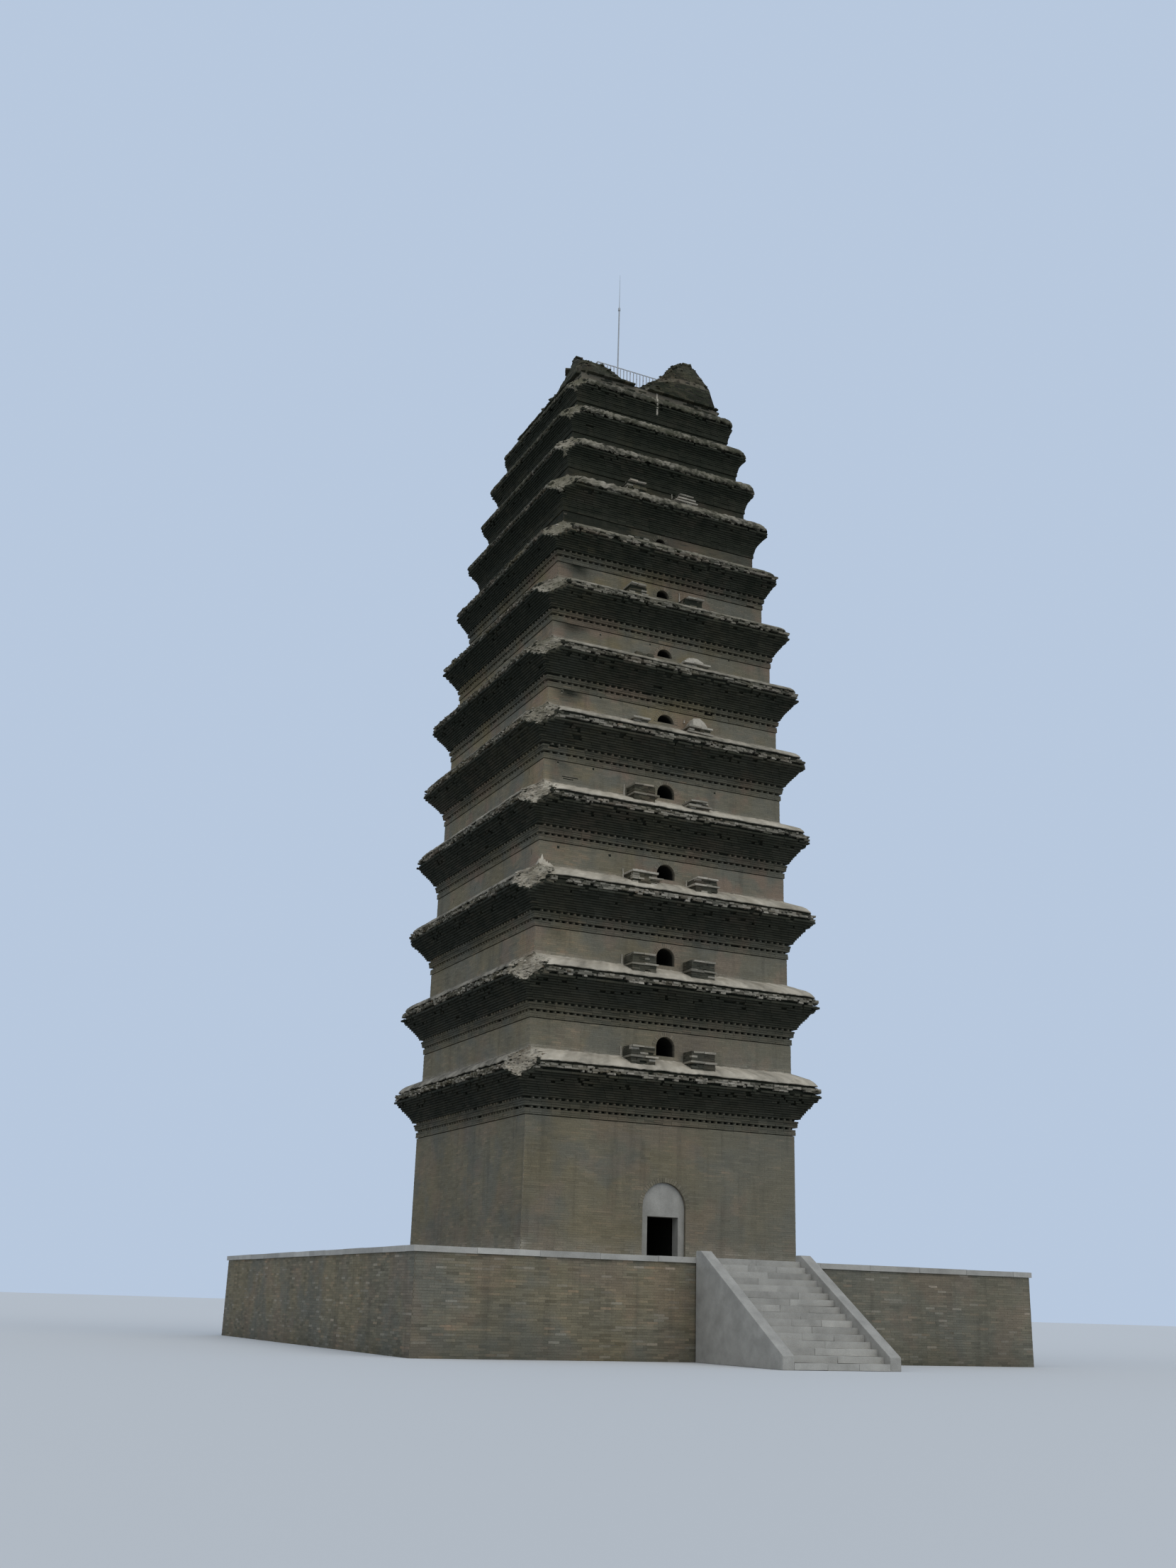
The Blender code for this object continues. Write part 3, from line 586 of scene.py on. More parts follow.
def metal_material():
    """Grey painted steel with rust at its runs and joints."""
    n = Nodes("painted_steel")
    medium = n.noise(9.0, 5.0, 0.65, shift=2.0)
    fine = n.noise(90.0, 3.0, 0.6, shift=4.0)
    rust = n.step(medium, 0.55, 0.70)
    base = n.ramp(fine, [(0.3, (0.225, 0.240, 0.250)), (0.7, (0.330, 0.345, 0.355))])
    base = n.mix(n.times(rust, 0.75), base, (0.150, 0.072, 0.034))
    rough = n.plus(0.42, n.times(rust, 0.40))
    n.shader.inputs["Metallic"].default_value = 0.35
    return n.done(base, rough, n.plus(fine, rust), 0.25, 0.001)


BRICKWORK = brick_material()
CORE = core_material("bedded_masonry")
LIME = mortar_material()
# All near black: painted shade in the gaps between the summit bricks
RUIN_CORE = core_material("ruin_core_painted_shade", ALL_DARK)
STONE = stone_material("dressed_stone", onset=0.50, share=0.45, dirt=(0.170, 0.160, 0.132))
SLAB_TOP = stone_material("weathered_slab", onset=0.32, share=0.85, dirt=(0.085, 0.084, 0.058))
TIMBER = timber_material()
STEEL = metal_material()


# Levels and profiles of a storey

class Storey:
    """Sizes of one storey, read from its solids."""

    def __init__(self, number):
        self.number = number
        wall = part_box("storey_1_front_wall" if number == 1 else f"storey_{number}_wall")
        self.half, self.base, self.top = wall[1].x, wall[0].z - SEAT, wall[1].z
        self.age = (number - 1) / (STOREYS - 2)
        # The wall's soot value: soot together with painted shade, strongest on the upper storeys under the
        # dense eaves
        self.soot = WALL_SOOT_AND_SHADE[number - 1]
        self.worn, self.crusted = number >= FIRST_WORN, number >= FIRST_CRUSTED
        self.tooth_courses = dict(enumerate(TOOTH_COURSES, 1)).get(number, ())
        if number < STOREYS:
            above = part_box(f"storey_{number + 1}_wall")
            self.corbels, self.grime = CORBELS[number - 1], WASH_GRIME[number - 1]
            self.lip_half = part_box(f"storey_{number}_eave")[1].x
            self.foot = self.top + BAND * COURSE
            self.lip = self.foot + self.corbels * COURSE
            self.lip_top = self.lip + LIPS * COURSE
            self.eave_top = above[0].z - SEAT
            self.next_half = above[1].x
            self.start = self.half + STRING_PROUD + STRING_STEP * (BAND // 2)
            self.knee_half = self.next_half + (self.lip_half - self.next_half) * KNEE_RUN
            self.knee_level = self.eave_top - (self.eave_top - self.lip_top) * KNEE_DROP
            self.slope_levels = (self.lip_top, self.knee_level, self.eave_top)
            self.slope_halves = (self.lip_half, self.knee_half, self.next_half)

    def corbel_half(self, share):
        return self.start + (self.lip_half - self.start) * share ** CORBEL_POWER

    def course_half(self, k):
        """Half width of course k over the wall's top: three plain ones, then the band, then the corbels."""
        if k < BAND:
            return self.half + STRING_PROUD + STRING_STEP * max(k - STRINGS + 1, 0)
        return self.corbel_half((k - BAND + 1) / self.corbels)

    def slope_half(self, level):
        """Half width of the eave's upper slope at a level."""
        return np.interp(level, self.slope_levels, self.slope_halves)

    def slope_level(self, half):
        return np.interp(half, self.slope_halves[::-1], self.slope_levels[::-1])

    def reach(self, corner, half, level):
        """How far |x| + |y| goes at a corner of the eave before the brickwork is broken off."""
        if corner == NEAR:
            return math.sqrt(2) * (math.sqrt(2) * self.next_half + BREAK_SLOPE * (self.eave_top - level))
        outward = max((half - self.half) / (self.lip_half - self.half), 0.0)
        return 2 * half - CHIP * outward ** 1.5

    def window(self):
        """Half width, sill and springing of the window or doorway, or None."""
        if self.number == 1:
            return DOOR_HALF, self.base, self.base + DOOR_SPRING
        if self.number - 2 < len(WINDOW_HALVES):
            w = WINDOW_HALVES[self.number - 2]
            return w, self.base + WINDOW_SILL, self.top - WINDOW_HEAD - w


# The corners in the row frame, and those at the low and the high end of each side's along direction
SQUARE = ((-1, -1), (1, -1), (1, 1), (-1, 1))
NEAR = SQUARE[0]
CORNERS = [(SQUARE[side], SQUARE[(side + 1) % 4]) for side in SIDES]

storeys = {k: Storey(k) for k in range(1, STOREYS + 1)}


def between(edges):
    """Where bricks start and stop between their upright joints."""
    return edges[:-1] + UPRIGHT / 2, edges[1:] - UPRIGHT / 2


def bonded(start, end, odd, rough=0.006, length=BRICK):
    """Starts and stops of a course's bricks between two ends, shifted by half a brick in odd courses."""
    count = max(int((end - start) / length), 1)
    inner = start + (np.arange(1, count + 1) - (0.75 if odd else 0.25)) * length
    inner = inner[(inner > start + length / 4) & (inner < end - length / 4)]
    inner = inner + uniform(-rough, rough, len(inner))
    return between(np.concatenate([[start], inner, [end]]))


def noise_along(u, seed, waves=(0.7, 1.9, 4.3)):
    """A smooth random line over u, about -1 to 1."""
    total = np.zeros_like(u, dtype=float)
    for i, w in enumerate(waves):
        phase = math.sin(seed * 12.9898 + i * 78.233) * 43758.5453 % (2 * math.pi)
        total += np.sin(u * w * 2.1 + phase) / (1 + 0.6 * i)
    return total / 1.6


def wall_finish(storey, side, u, z):
    """Tone, pale, soot and moss of the plain wall, at the corners of its bricks; the soot value is soot with
    painted shade.
    """
    s = storeys[storey]
    each = (len(u), 1)
    up = (z - s.base) / (s.top - s.base)
    tone = 0.53 + normal(0, 0.10, each) + 0.09 * noise_along(u * 2 + z * 3, storey * 5 + side)
    pale = np.clip(0.30 * (1 - up * 6), 0, 1) * uniform(0.3, 1.2, each)
    # The soot value rises towards the eave over the wall as painted shade; its noise is real soot
    soot = s.soot + 0.10 * up + 0.05 * noise_along(u, storey * 7 + side) + normal(0, 0.03, each)
    # The left face darker: painted shade
    if side == LEFT:
        soot = soot + 0.05
    # Storey 9 darker on its left face and towards the near corner of its front: painted shade
    if storey == DARK_ON_LEFT:
        soot = soot + 0.34 * (1 if side == LEFT else np.clip((0.7 - u) / 1.6, 0, 1))
    near = {FRONT: u + s.half, LEFT: s.half - u}.get(side)
    if near is not None and storey <= len(STAIN):
        stain = bell(near - 0.45, 0.26) * bell(up - 1.0, 0.62)
        if side == FRONT:
            soot = soot + STAIN[storey - 1] * stain * (0.85 + 0.3 * noise_along(u * 3 + z * 5, storey))
        edge = bell(near, 0.10) * np.clip(1 - up / 0.16, 0, 1)
        pale = np.maximum(pale, edge * uniform(0.5, 1.0, each))
        tone = tone + (0.60 if side == LEFT else 0.22) * bell(near - 0.25, 0.50) * (storey > 2)
    return stack(tone, pale, soot, 0.15 * s.age + 0.9 * max(s.age - 0.72, 0))


def plinth_finish(storey, side, u, z):
    """Greyer bricks with a splashed foot."""
    each = (len(u), 1)
    splash = np.exp(-z / 0.25)
    soot = 0.10 + 0.30 * splash + 0.08 * noise_along(u, side + 3) + normal(0, 0.05, each)
    return stack(normal(0.46, 0.20, each), 0.2 * (chance(each) < 0.05), soot, 0.5 * splash)


def cut_out(bricks, low, high):
    """Bricks, as starts and stops, with the stretch from low to high left free."""
    u0, u1 = bricks
    before, after = u0 < low, u1 > high
    starts = np.concatenate([u0[before], np.maximum(u0[after], high)])
    stops = np.concatenate([np.minimum(u1[before], low), u1[after]])
    wide = stops - starts > 0.012
    return starts[wide], stops[wide]


def lay_wall(heap, number, low, high, half, opening=None, finish_of=wall_finish):
    """Courses of bricks on the outer faces of a square wall, around its openings and small holes."""
    count = round((high - low) / COURSE)
    pitch = (high - low) / count
    for k in range(count):
        z0, z1 = low + k * pitch, low + (k + 1) * pitch
        middle = (z0 + z1) / 2
        for side in SIDES:
            ends = (SKIN - half, half) if k % 2 else (-half, half - SKIN)
            bricks = bonded(*ends, k % 2)
            if opening and side in (FRONT, BACK):
                w, sill, spring = opening
                if middle > spring and middle - spring < w + ARCH_RING:
                    clear = math.sqrt((w + ARCH_RING) ** 2 - (middle - spring) ** 2) + JOINT / 2
                    bricks = cut_out(bricks, -clear, clear)
                elif sill - JOINT < middle <= spring:
                    bricks = cut_out(bricks, -w, w)
            for at, bottom, top, width in HOLES.get(number, {}).get(side, ()):
                if z1 > bottom + 0.005 and z0 < top - 0.005:
                    left, right = at - width / 2, at + width / 2
                    bricks = cut_out(bricks, left, right)
                    # A near-black box at the back of each hole: painted shade
                    back = (half - SKIN, left, max(z0, bottom)), (half + 0.0004, right, min(z1, top))
                    heap.bricks(side, *back, PAINTED_HOLE_SHADE, wear=FLAT)
            u0, u1 = bricks
            face = half + 0.0019 + np.clip(normal(0, 0.0007, len(u0)), -0.0012, 0.002)
            corner_u = np.where(CORNER_BITS[:, 1], u1[:, None], u0[:, None])
            finish = finish_of(number, side, corner_u, np.where(CORNER_BITS[:, 2], z1, z0))
            ends = stack(half - SKIN, u0, z0 + JOINT / 2), stack(face, u1, z1 - JOINT / 2)
            heap.bricks(side, *ends, finish, wear=0.0006)


def lay_arch(heap, side, s, header):
    """Wedge bricks round the head of the storey's opening, each as wide as header or a little wider."""
    w, sill, spring = s.window()
    lowest = math.asin(min(max((sill - spring) / w, 0.0), 1.0))
    span = math.pi - 2 * lowest
    count = max(int(span * (w + ARCH_RING / 2) / header), 5)
    for i in range(count):
        front = s.half + 0.006 + uniform(-0.002, 0.002)
        low = (s.half - 0.02, lowest + span * (i + 0.06) / count, w + 0.001)
        high = (front, lowest + span * (i + 0.94) / count, w + ARCH_RING - 0.003)
        n, angle, radius = np.where(CORNER_BITS, high, low).T
        points = place(side, stack(n, -radius * np.cos(angle), spring + radius * np.sin(angle)))[None]
        points = points + normal(0, 0.0008, points.shape)
        heap.boxes(points, (normal(0.54, 0.1), uniform(0.0, 0.10), s.soot + uniform(0.05, 0.25), 0))


def square_loop(half, level, cuts):
    """Eight points round a square, whose corners lose the lengths of the cuts."""
    points = []
    for (sx, sy), cut in zip(SQUARE, cuts):
        along_x = (sx * (half - cut), sy * half, level)
        along_y = (sx * half, sy * (half - cut), level)
        points += [along_y, along_x] if sx == sy else [along_x, along_y]
    return points


def eave_core(heap, s):
    """The masonry behind the bricks of an eave, set back from their faces, near black as painted shade in the
    gaps between them.
    """
    profile = [(s.half - 0.06, s.top + SEAT), (s.half - 0.06, s.foot)]
    for i in range(1, CORE_LEVELS):
        share = i / CORE_LEVELS
        profile.append((s.corbel_half(share) - 0.045, s.foot + (s.lip - s.foot) * share))
    profile += [
        (s.lip_half - 0.075, s.lip),
        (s.lip_half - 0.080, s.lip_top - 0.02),
        (s.knee_half - 0.03, s.knee_level - 0.03),
        (s.next_half - 0.02, s.eave_top - 0.002),
    ]
    loops = [square_loop(half, level, [max(2 * half - s.reach(c, half, level) + 0.05, 0.01) for c in SQUARE])
             for half, level in profile]
    loops += [square_loop(SHAFT - LEDGE, level, [0.01] * 4) for level in (s.eave_top - 0.002, s.top + SEAT)]
    # Soot value near 1: painted shade in the recesses behind the eave's bricks
    heap.ring(loops, (0.30, 0.0, 0.99, 0.0))


def lay_ring_course(heap, s, z0, z1, face, depth, odd, finish_of, ragged=0.0, lost=0.0, runs=0.0,
                    wear=0.0014, turn=0.003, tip=0.0, length=BRICK):
    """One course of an eave on all four sides, cut off where the corners are broken."""
    level = (z0 + z1) / 2
    for side in SIDES:
        ends = [depth - face, face] if odd else [-face, face - depth]
        for i, corner in enumerate(CORNERS[side]):
            limit = s.reach(corner, face, level) - face + depth * 0.35
            spread = 0.04 if corner == NEAR else 0.02
            limit += uniform(-spread, spread)
            if limit < face - 0.01:
                ends[i] = min(ends[i], limit) if i else max(ends[i], -limit)
        u0, u1 = bonded(*ends, odd, 0.03 * length, length)
        count = len(u0)
        front = face + normal(0, 0.002, count)
        if ragged:
            front = face - ragged * chance(count) ** 2.2 + uniform(-0.004, 0.006, count)
            short = chance(count) < 0.16
            u1 = np.where(short, u0 + (u1 - u0) * uniform(0.35, 0.8, count), u1)
        gone = np.clip(0.5 + 0.9 * noise_along(u0, s.number * 31 + side, (2.3, 5.1, 9.7)), 0, 1)
        keep = chance(count) >= lost + runs * gone
        low, high = stack(front - depth, u0, z0 + JOINT / 2)[keep], stack(front, u1, z1 - JOINT / 2)[keep]
        heap.bricks(side, low, high, finish_of(side, ((u0 + u1) / 2)[keep]), wear=wear, turn=turn, tip=tip)


def soffit_finish(s, share):
    """Finish of the corbels, darker towards the lip, at the share of the way to it; their soot value is soot
    with painted shade.
    """
    def finish(side, u):
        count = len(u)
        tone = normal(0.45, 0.16, count)
        pale = np.where(chance(count) < 0.012, uniform(0.05, 0.16, count), 0.0)
        soot = SOFFIT_SOOT_AND_SHADE[s.number - 1] + 0.035 * share + 0.02 * noise_along(u, s.number * 3 + side)
        # More soot value on the left side: painted shade
        soot = soot + normal(0, 0.02, count) + 0.06 * (side == LEFT)
        return stack(tone, pale * (1 - 0.7 * s.age), soot, 0.10 + 0.20 * s.age)
    return finish


def lip_finish(s, bright_share):
    """Finish of a course of the lip, in which a share of the bricks is pale and less sooty."""
    def finish(side, u):
        count = len(u)
        bright = chance(count) < bright_share
        pale = np.where(bright, uniform(0.45, 0.95, count), uniform(0.15, 0.45, count)) * (1 - 0.62 * s.age)
        # The left face less pale: painted shade
        if side == LEFT:
            pale = pale * 0.55
        soot = np.where(bright, uniform(0.25, 0.50, count), uniform(0.45, 0.70, count)) + 0.30 * s.age
        return stack(normal(0.5, 0.2, count), pale, soot + 1.5 * max(s.grime - 0.75, 0), 0.2 + 0.5 * s.age)
    return finish


def groove_painted_shade(side, u):
    """Finish of the courses deep in the groove between the lip and the wash, near black as painted shade."""
    return stack(normal(0.4, 0.1, len(u)), 0.0, normal(0.95, 0.02, len(u)), 0.0)


def band_finish(s, k):
    """Finish of the plain courses over the wall, sootier upwards."""
    def finish(side, u):
        soot = 0.40 + 0.055 * k + 1.3 * max(s.soot - 0.1, 0) + 0.06 * noise_along(u, s.number * 5 + side)
        soot = np.minimum(soot + normal(0, 0.04, len(u)), 0.97)
        return stack(normal(0.52, 0.14, len(u)), 0.0, soot, 0.1 + 0.2 * s.age)
    return finish


# A tooth's corners at its edge, lightened as painted light, and those deep in the notches, darkened as
# painted shade
TOOTH_EDGE = [1, 5]
TOOTH_NOTCH = [0, 2, 3, 4, 6, 7]


def lay_teeth(heap, s, z0, z1, face):
    """Bricks set cornerwise, so that only their edges show."""
    pitch = WIDE_TEETH.get(s.number, TOOTH_PITCH)
    size = pitch * TOOTH_SIZE
    for side in SIDES:
        count = int(2 * s.half / pitch)
        middles = (np.arange(count) - (count - 1) / 2) * pitch + normal(0, 0.004, count)
        centre = face - size + normal(0, 0.003, count)
        tips = ((0, -size), (size, 0), (-size, 0), (0, size))
        corners = np.stack([stack(centre + n, middles + u, z) for z in (z0, z1) for n, u in tips], 1)
        corners = corners + normal(0, 0.001, corners.shape)
        keep = chance(count) > 0.03
        finish = np.repeat(band_finish(s, 0)(side, middles)[:, None], 8, axis=1)
        # Edge corners less sooty and notch corners near black: painted light on the tips and painted shade in
        # the notches
        finish[:, TOOTH_EDGE, 2] -= 0.16
        finish[:, TOOTH_NOTCH, 2] = 0.98
        heap.boxes(place(side, corners[keep]), finish[keep])


def tilted(size, lean, centre):
    """The corners of a worn block of half sizes, turned anyhow and leaning a little."""
    angles = uniform(0, 2 * math.pi), normal(0, lean), normal(0, lean)
    spin, lean_x, lean_y = (Matrix.Rotation(angle, 3, axis) for angle, axis in zip(angles, "ZXY"))
    worn = np.where(CORNER_BITS, size, -np.asarray(size)) + normal(0, 0.003, (8, 3))
    return (worn @ np.array(spin @ lean_x @ lean_y).T + centre)[None]


def lay_crumbs(heap, s, courses):
    """Broken pieces on the lip's edge, most of them on the left face."""
    for side in SIDES:
        u = uniform(-1, 1, CRUMBS[side]) * (s.lip_half - 0.12)
        limits = [s.reach(corner, s.lip_half, s.lip_top) - s.lip_half - 0.03 for corner in CORNERS[side]]
        for at in u[(u >= -limits[0]) & (u <= limits[1])]:
            size = (uniform(0.015, 0.038), uniform(0.014, 0.028), uniform(0.007, 0.015))
            z = s.lip + LIP_LIFT + courses * COURSE * uniform(0.15, 1.0)
            centre = place(side, (s.lip_half - uniform(0.004, 0.03), at, z))
            bright = chance() < 0.35
            soot = (uniform(0.25, 0.5) if bright else uniform(0.45, 0.75)) + 0.25 * s.age
            heap.boxes(tilted(size, 0.25, centre),
                       (normal(0.5, 0.2), 0.7 * bright * (1 - 0.6 * s.age), soot, 0.5 * s.age))


def build_eave(number):
    """All the brickwork of one eave: band, dog-tooth courses, corbels, lip and groove."""
    s = storeys[number]
    heap = Heap()
    eave_core(heap, s)
    for k in range(BAND + s.corbels):
        z0, z1 = s.top + k * COURSE + STRING_GAP * (k == 0), s.top + (k + 1) * COURSE
        face = s.course_half(k)
        share = max(k - BAND + 1, 0) / s.corbels
        if k in s.tooth_courses:
            lay_teeth(heap, s, z0 + JOINT / 2, z1 - JOINT / 2, face - 0.002)
            continue
        near_teeth = k <= max(s.tooth_courses, default=BAND)
        finish_of = band_finish(s, k) if near_teeth else soffit_finish(s, share)
        ragged, lost = (share - 0.6) * 0.05 if share > 0.7 else 0.0, 0.002 + 0.008 * (share > 0.85)
        lay_ring_course(heap, s, z0, z1, face, DEPTH, k % 2, finish_of, ragged, lost)
    courses = LIPS + (WASH_EDGE[number - 1] > GROOVE)
    for k, (lost, runs, length, bright) in enumerate(LIP_COURSES[:courses]):
        z0 = s.lip + LIP_LIFT + k * COURSE
        half = s.lip_half - 0.008 * (k == LIPS)
        lay_ring_course(heap, s, z0, z0 + COURSE, half, LIP_DEPTH, k % 2, lip_finish(s, bright), LIP_RAGGED,
                        lost, runs, wear=0.004, turn=0.02, tip=0.012, length=BRICK * length)
    lay_crumbs(heap, s, courses)
    for k in range(courses, courses + GROOVE_COURSES):
        z0 = s.lip + k * COURSE
        half = s.slope_half(z0) - GROOVE_INSET
        lay_ring_course(heap, s, z0, z0 + COURSE, half, DEPTH, k % 2, groove_painted_shade)
    heap.build(f"storey_{number}_eave_brickwork", replaced=[f"storey_{number}_eave"])


# The wash's profile: share of the way down the slope, distance out from it and drop under it
WASH_PROFILE = (
    (0.0, 0.008, -0.002), (0.16, 0.006, -0.004), (0.32, 0.007, -0.004), (0.50, 0.011, -0.004),
    (0.68, 0.018, -0.003), (0.84, 0.025, -0.001), (0.95, 0.030, 0.0), (1.0, 0.031, 0.006),
    (1.0, 0.025, 0.015), (1.0, 0.008, 0.020), (1.0, -0.05, 0.010),
)
COLUMNS = 88

# Tongues of the lime stain over the foot of storey 4's front wall: place along it, width and height
TONGUES = (
    (-2.668, 0.040, 0.195), (-2.715, 0.030, 0.10), (-2.610, 0.030, 0.10), (-2.560, 0.026, 0.07),
    (-2.505, 0.03, 0.045),
)


def lay_smear(heap, side, half, low, high, foot, height_of, soot):
    """Thin lime on the face of a wall, whose height over its foot varies along it."""
    u = np.linspace(low, high, 34)
    share = np.linspace(0, 1, 7)[:, None]
    top = stack(half + 0.0075 - 0.0030 * share, u, foot + share * height_of(u))
    heap.sheet(place(side, top), place(side, top - (0.012, 0, 0)), (0.35, 0, soot, 0))


def flare(u):
    """Height of the lime stain beside the near corner: one tall tongue and short ones."""
    return 0.022 + np.max([h * np.exp(-np.abs((u - at) / w) ** 1.5) for at, w, h in TONGUES], axis=0)


def lay_run(heap, side, s, at, lean, width=0.040):
    """A run of lime from the ledge over an eave to its underside, leaning more the further out it is."""
    profile = [(s.next_half + 0.004, s.eave_top + 0.20), (s.next_half + 0.006, s.eave_top + 0.03)]
    profile += [(s.slope_half(z) + 0.030, z) for z in np.linspace(s.eave_top - 0.03, s.lip_top + 0.02, 4)]
    profile += [(s.lip_half + 0.008, s.lip_top), (s.lip_half + 0.008, s.lip + 0.004)]
    profile += [(s.lip_half - 0.03, s.lip - 0.006)]
    profile += [(s.corbel_half(k / 4) + 0.002, s.foot + (s.lip - s.foot) * k / 4 - 0.004)
                for k in (3, 2, 1, 0)]
    grid = []
    for i, (n, z) in enumerate(profile):
        middle, across = at - lean * (n - s.next_half), np.array((-1, -0.3, 0.4, 1))
        grid.append(stack(n + 0.012, middle + across * width / 2 + 0.003 * math.sin(3 * i), z))
    grid = np.array(grid)
    heap.sheet(place(side, grid), place(side, grid - (0.03, 0, 0)), (0.5, 0, 0.30, 0.3))


def build_wash(number):
    """The lime on an eave's upper slope, with a roll over the lip, and on the foot of the next wall."""
    s = storeys[number]
    heap = Heap()
    edge = s.lip_top + WASH_EDGE[number - 1]
    ends = np.linspace(-1, 1, COLUMNS, endpoint=False)
    hang, ragged, wave, grime = [], [], [], []
    for side in SIDES:
        line = noise_along(ends * 31, number * 7 + side, (1.1, 2.3, 5.9))
        hang.append(s.crusted * (0.034 + 0.014 * line + uniform(-0.022, 0.022, COLUMNS)))
        line = noise_along(ends * 9, number * 11 + side, (1.1, 2.9, 6.7))
        worn = 2.2 if side == LEFT else 1.0 + 0.8 * s.worn
        ragged.append(worn * (0.008 * line + uniform(-0.004, 0.004, COLUMNS)))
        wave.append(noise_along(ends * 23, number + side * 3, (1.3, 3.1, 7.7)))
        near = s.next_half * {FRONT: 1 + ends, LEFT: 1 - ends}.get(side, 9)
        line = noise_along(ends * 9, side + number, (0.8, 2.6, 6.1))
        # More soot value on the left face: painted shade
        grime.append(0.16 * line + 0.26 * (side == LEFT) - 0.34 * s.age * np.exp(-near / 0.7))
    loops, finish = [], []
    for step, (share, out, drop) in enumerate(((-1, 0.006, 0), *WASH_PROFILE, (-2, -0.012, 0))):
        loop, shade = [], []
        for side in SIDES:
            streak = normal(0, 0.03, COLUMNS)
            if share >= 0:
                level = s.eave_top - (s.eave_top - edge + ragged[side]) * share
                n = s.slope_half(level) + out + 0.004 * wave[side] * (out > 0)
                n += uniform(-0.010, 0.004, COLUMNS) * (side == LEFT or s.worn) * (share > 0.3)
                z = level - drop + normal(0, 0.0015, COLUMNS)
                if s.crusted:
                    swell = math.sin(math.pi * share) * (0.026 + 0.008 * wave[side])
                    z += swell + normal(0, 0.007, COLUMNS) * (share > 0)
                    if share == 1 and out > 0:
                        n = np.maximum(n, s.lip_half + 0.2 * out + uniform(-0.006, 0.008, COLUMNS))
                        z -= hang[side] * (drop > 0.01)
            else:
                n = np.full(COLUMNS, s.next_half + out)
                rise = 0.012 + 0.008 * wave[side] + normal(0, 0.003, COLUMNS)
                z = s.eave_top + (np.maximum(rise, 0.004) if share == -1 else np.full(COLUMNS, -0.01))
            points = place(side, stack(n, ends * n, z))
            for corner in CORNERS[side]:
                towards = points[:, 0] * corner[0] + points[:, 1] * corner[1]
                limit = np.array([s.reach(corner, a, b) for a, b in zip(n, np.minimum(z, s.eave_top))])
                points[:, :2] -= (np.maximum(towards - limit, 0) / 2)[:, None] * corner
            loop.append(points)
            # The steps under the roll (step > 9) get more soot value: painted shade under the lip's roll
            base = s.grime + grime[side] + 0.35 * (step > 9) + 0.22 * s.age * max(share, 0) ** 2
            base = base + s.crusted * uniform(-0.16, 0.16, COLUMNS)
            moss = min(1.1 * s.age ** 1.5, 0.9) * (0.5 if s.crusted else 1.0)
            shade.append(stack(normal(0.5, 0.15, COLUMNS), 0.0, np.clip(base + streak, 0, 1), moss))
        loops.append(np.concatenate(loop))
        finish.append(np.concatenate(shade))
    heap.ring(loops, np.concatenate(finish))
    if number == SMEARED:
        half, foot = s.next_half, s.eave_top + 0.004
        lay_smear(heap, FRONT, half, 0.001 - half, -2.44, foot, flare, 0.10)
        lay_smear(heap, LEFT, half, half - 0.14, half - 0.001, foot,
                  lambda u: 0.02 + 0.10 * np.clip((u - half + 0.14) / 0.14, 0, 1) ** 2, 0.25)
    if number == STOREYS - 1:
        lay_run(heap, FRONT, s, 0.150, 0.47)
        lay_run(heap, BACK, s, 0.60, 0.1)
    heap.build(f"storey_{number}_eave_wash", LIME, smooth=True)


DIAGONAL = np.array((-1, -1, 0)) / math.sqrt(2)
ACROSS = np.array((1, -1, 0)) / math.sqrt(2)
PLAIN_CHIPS, WORN_CHIPS = 26, 8
PATCH_GRID = 30, 19


def break_edge(s, z):
    """Distance of the broken near corner's face from the axis, and half its width, at a level."""
    level = min(z, s.eave_top)
    if z >= s.lip_top:
        half = s.slope_half(level)
    else:
        half = s.lip_half if z >= s.lip else s.corbel_half(1 - (s.lip - z) / (s.corbels * COURSE))
    reach = min(s.reach(NEAR, half, level), 2 * half)
    return reach / math.sqrt(2), (2 * half - reach) / math.sqrt(2)


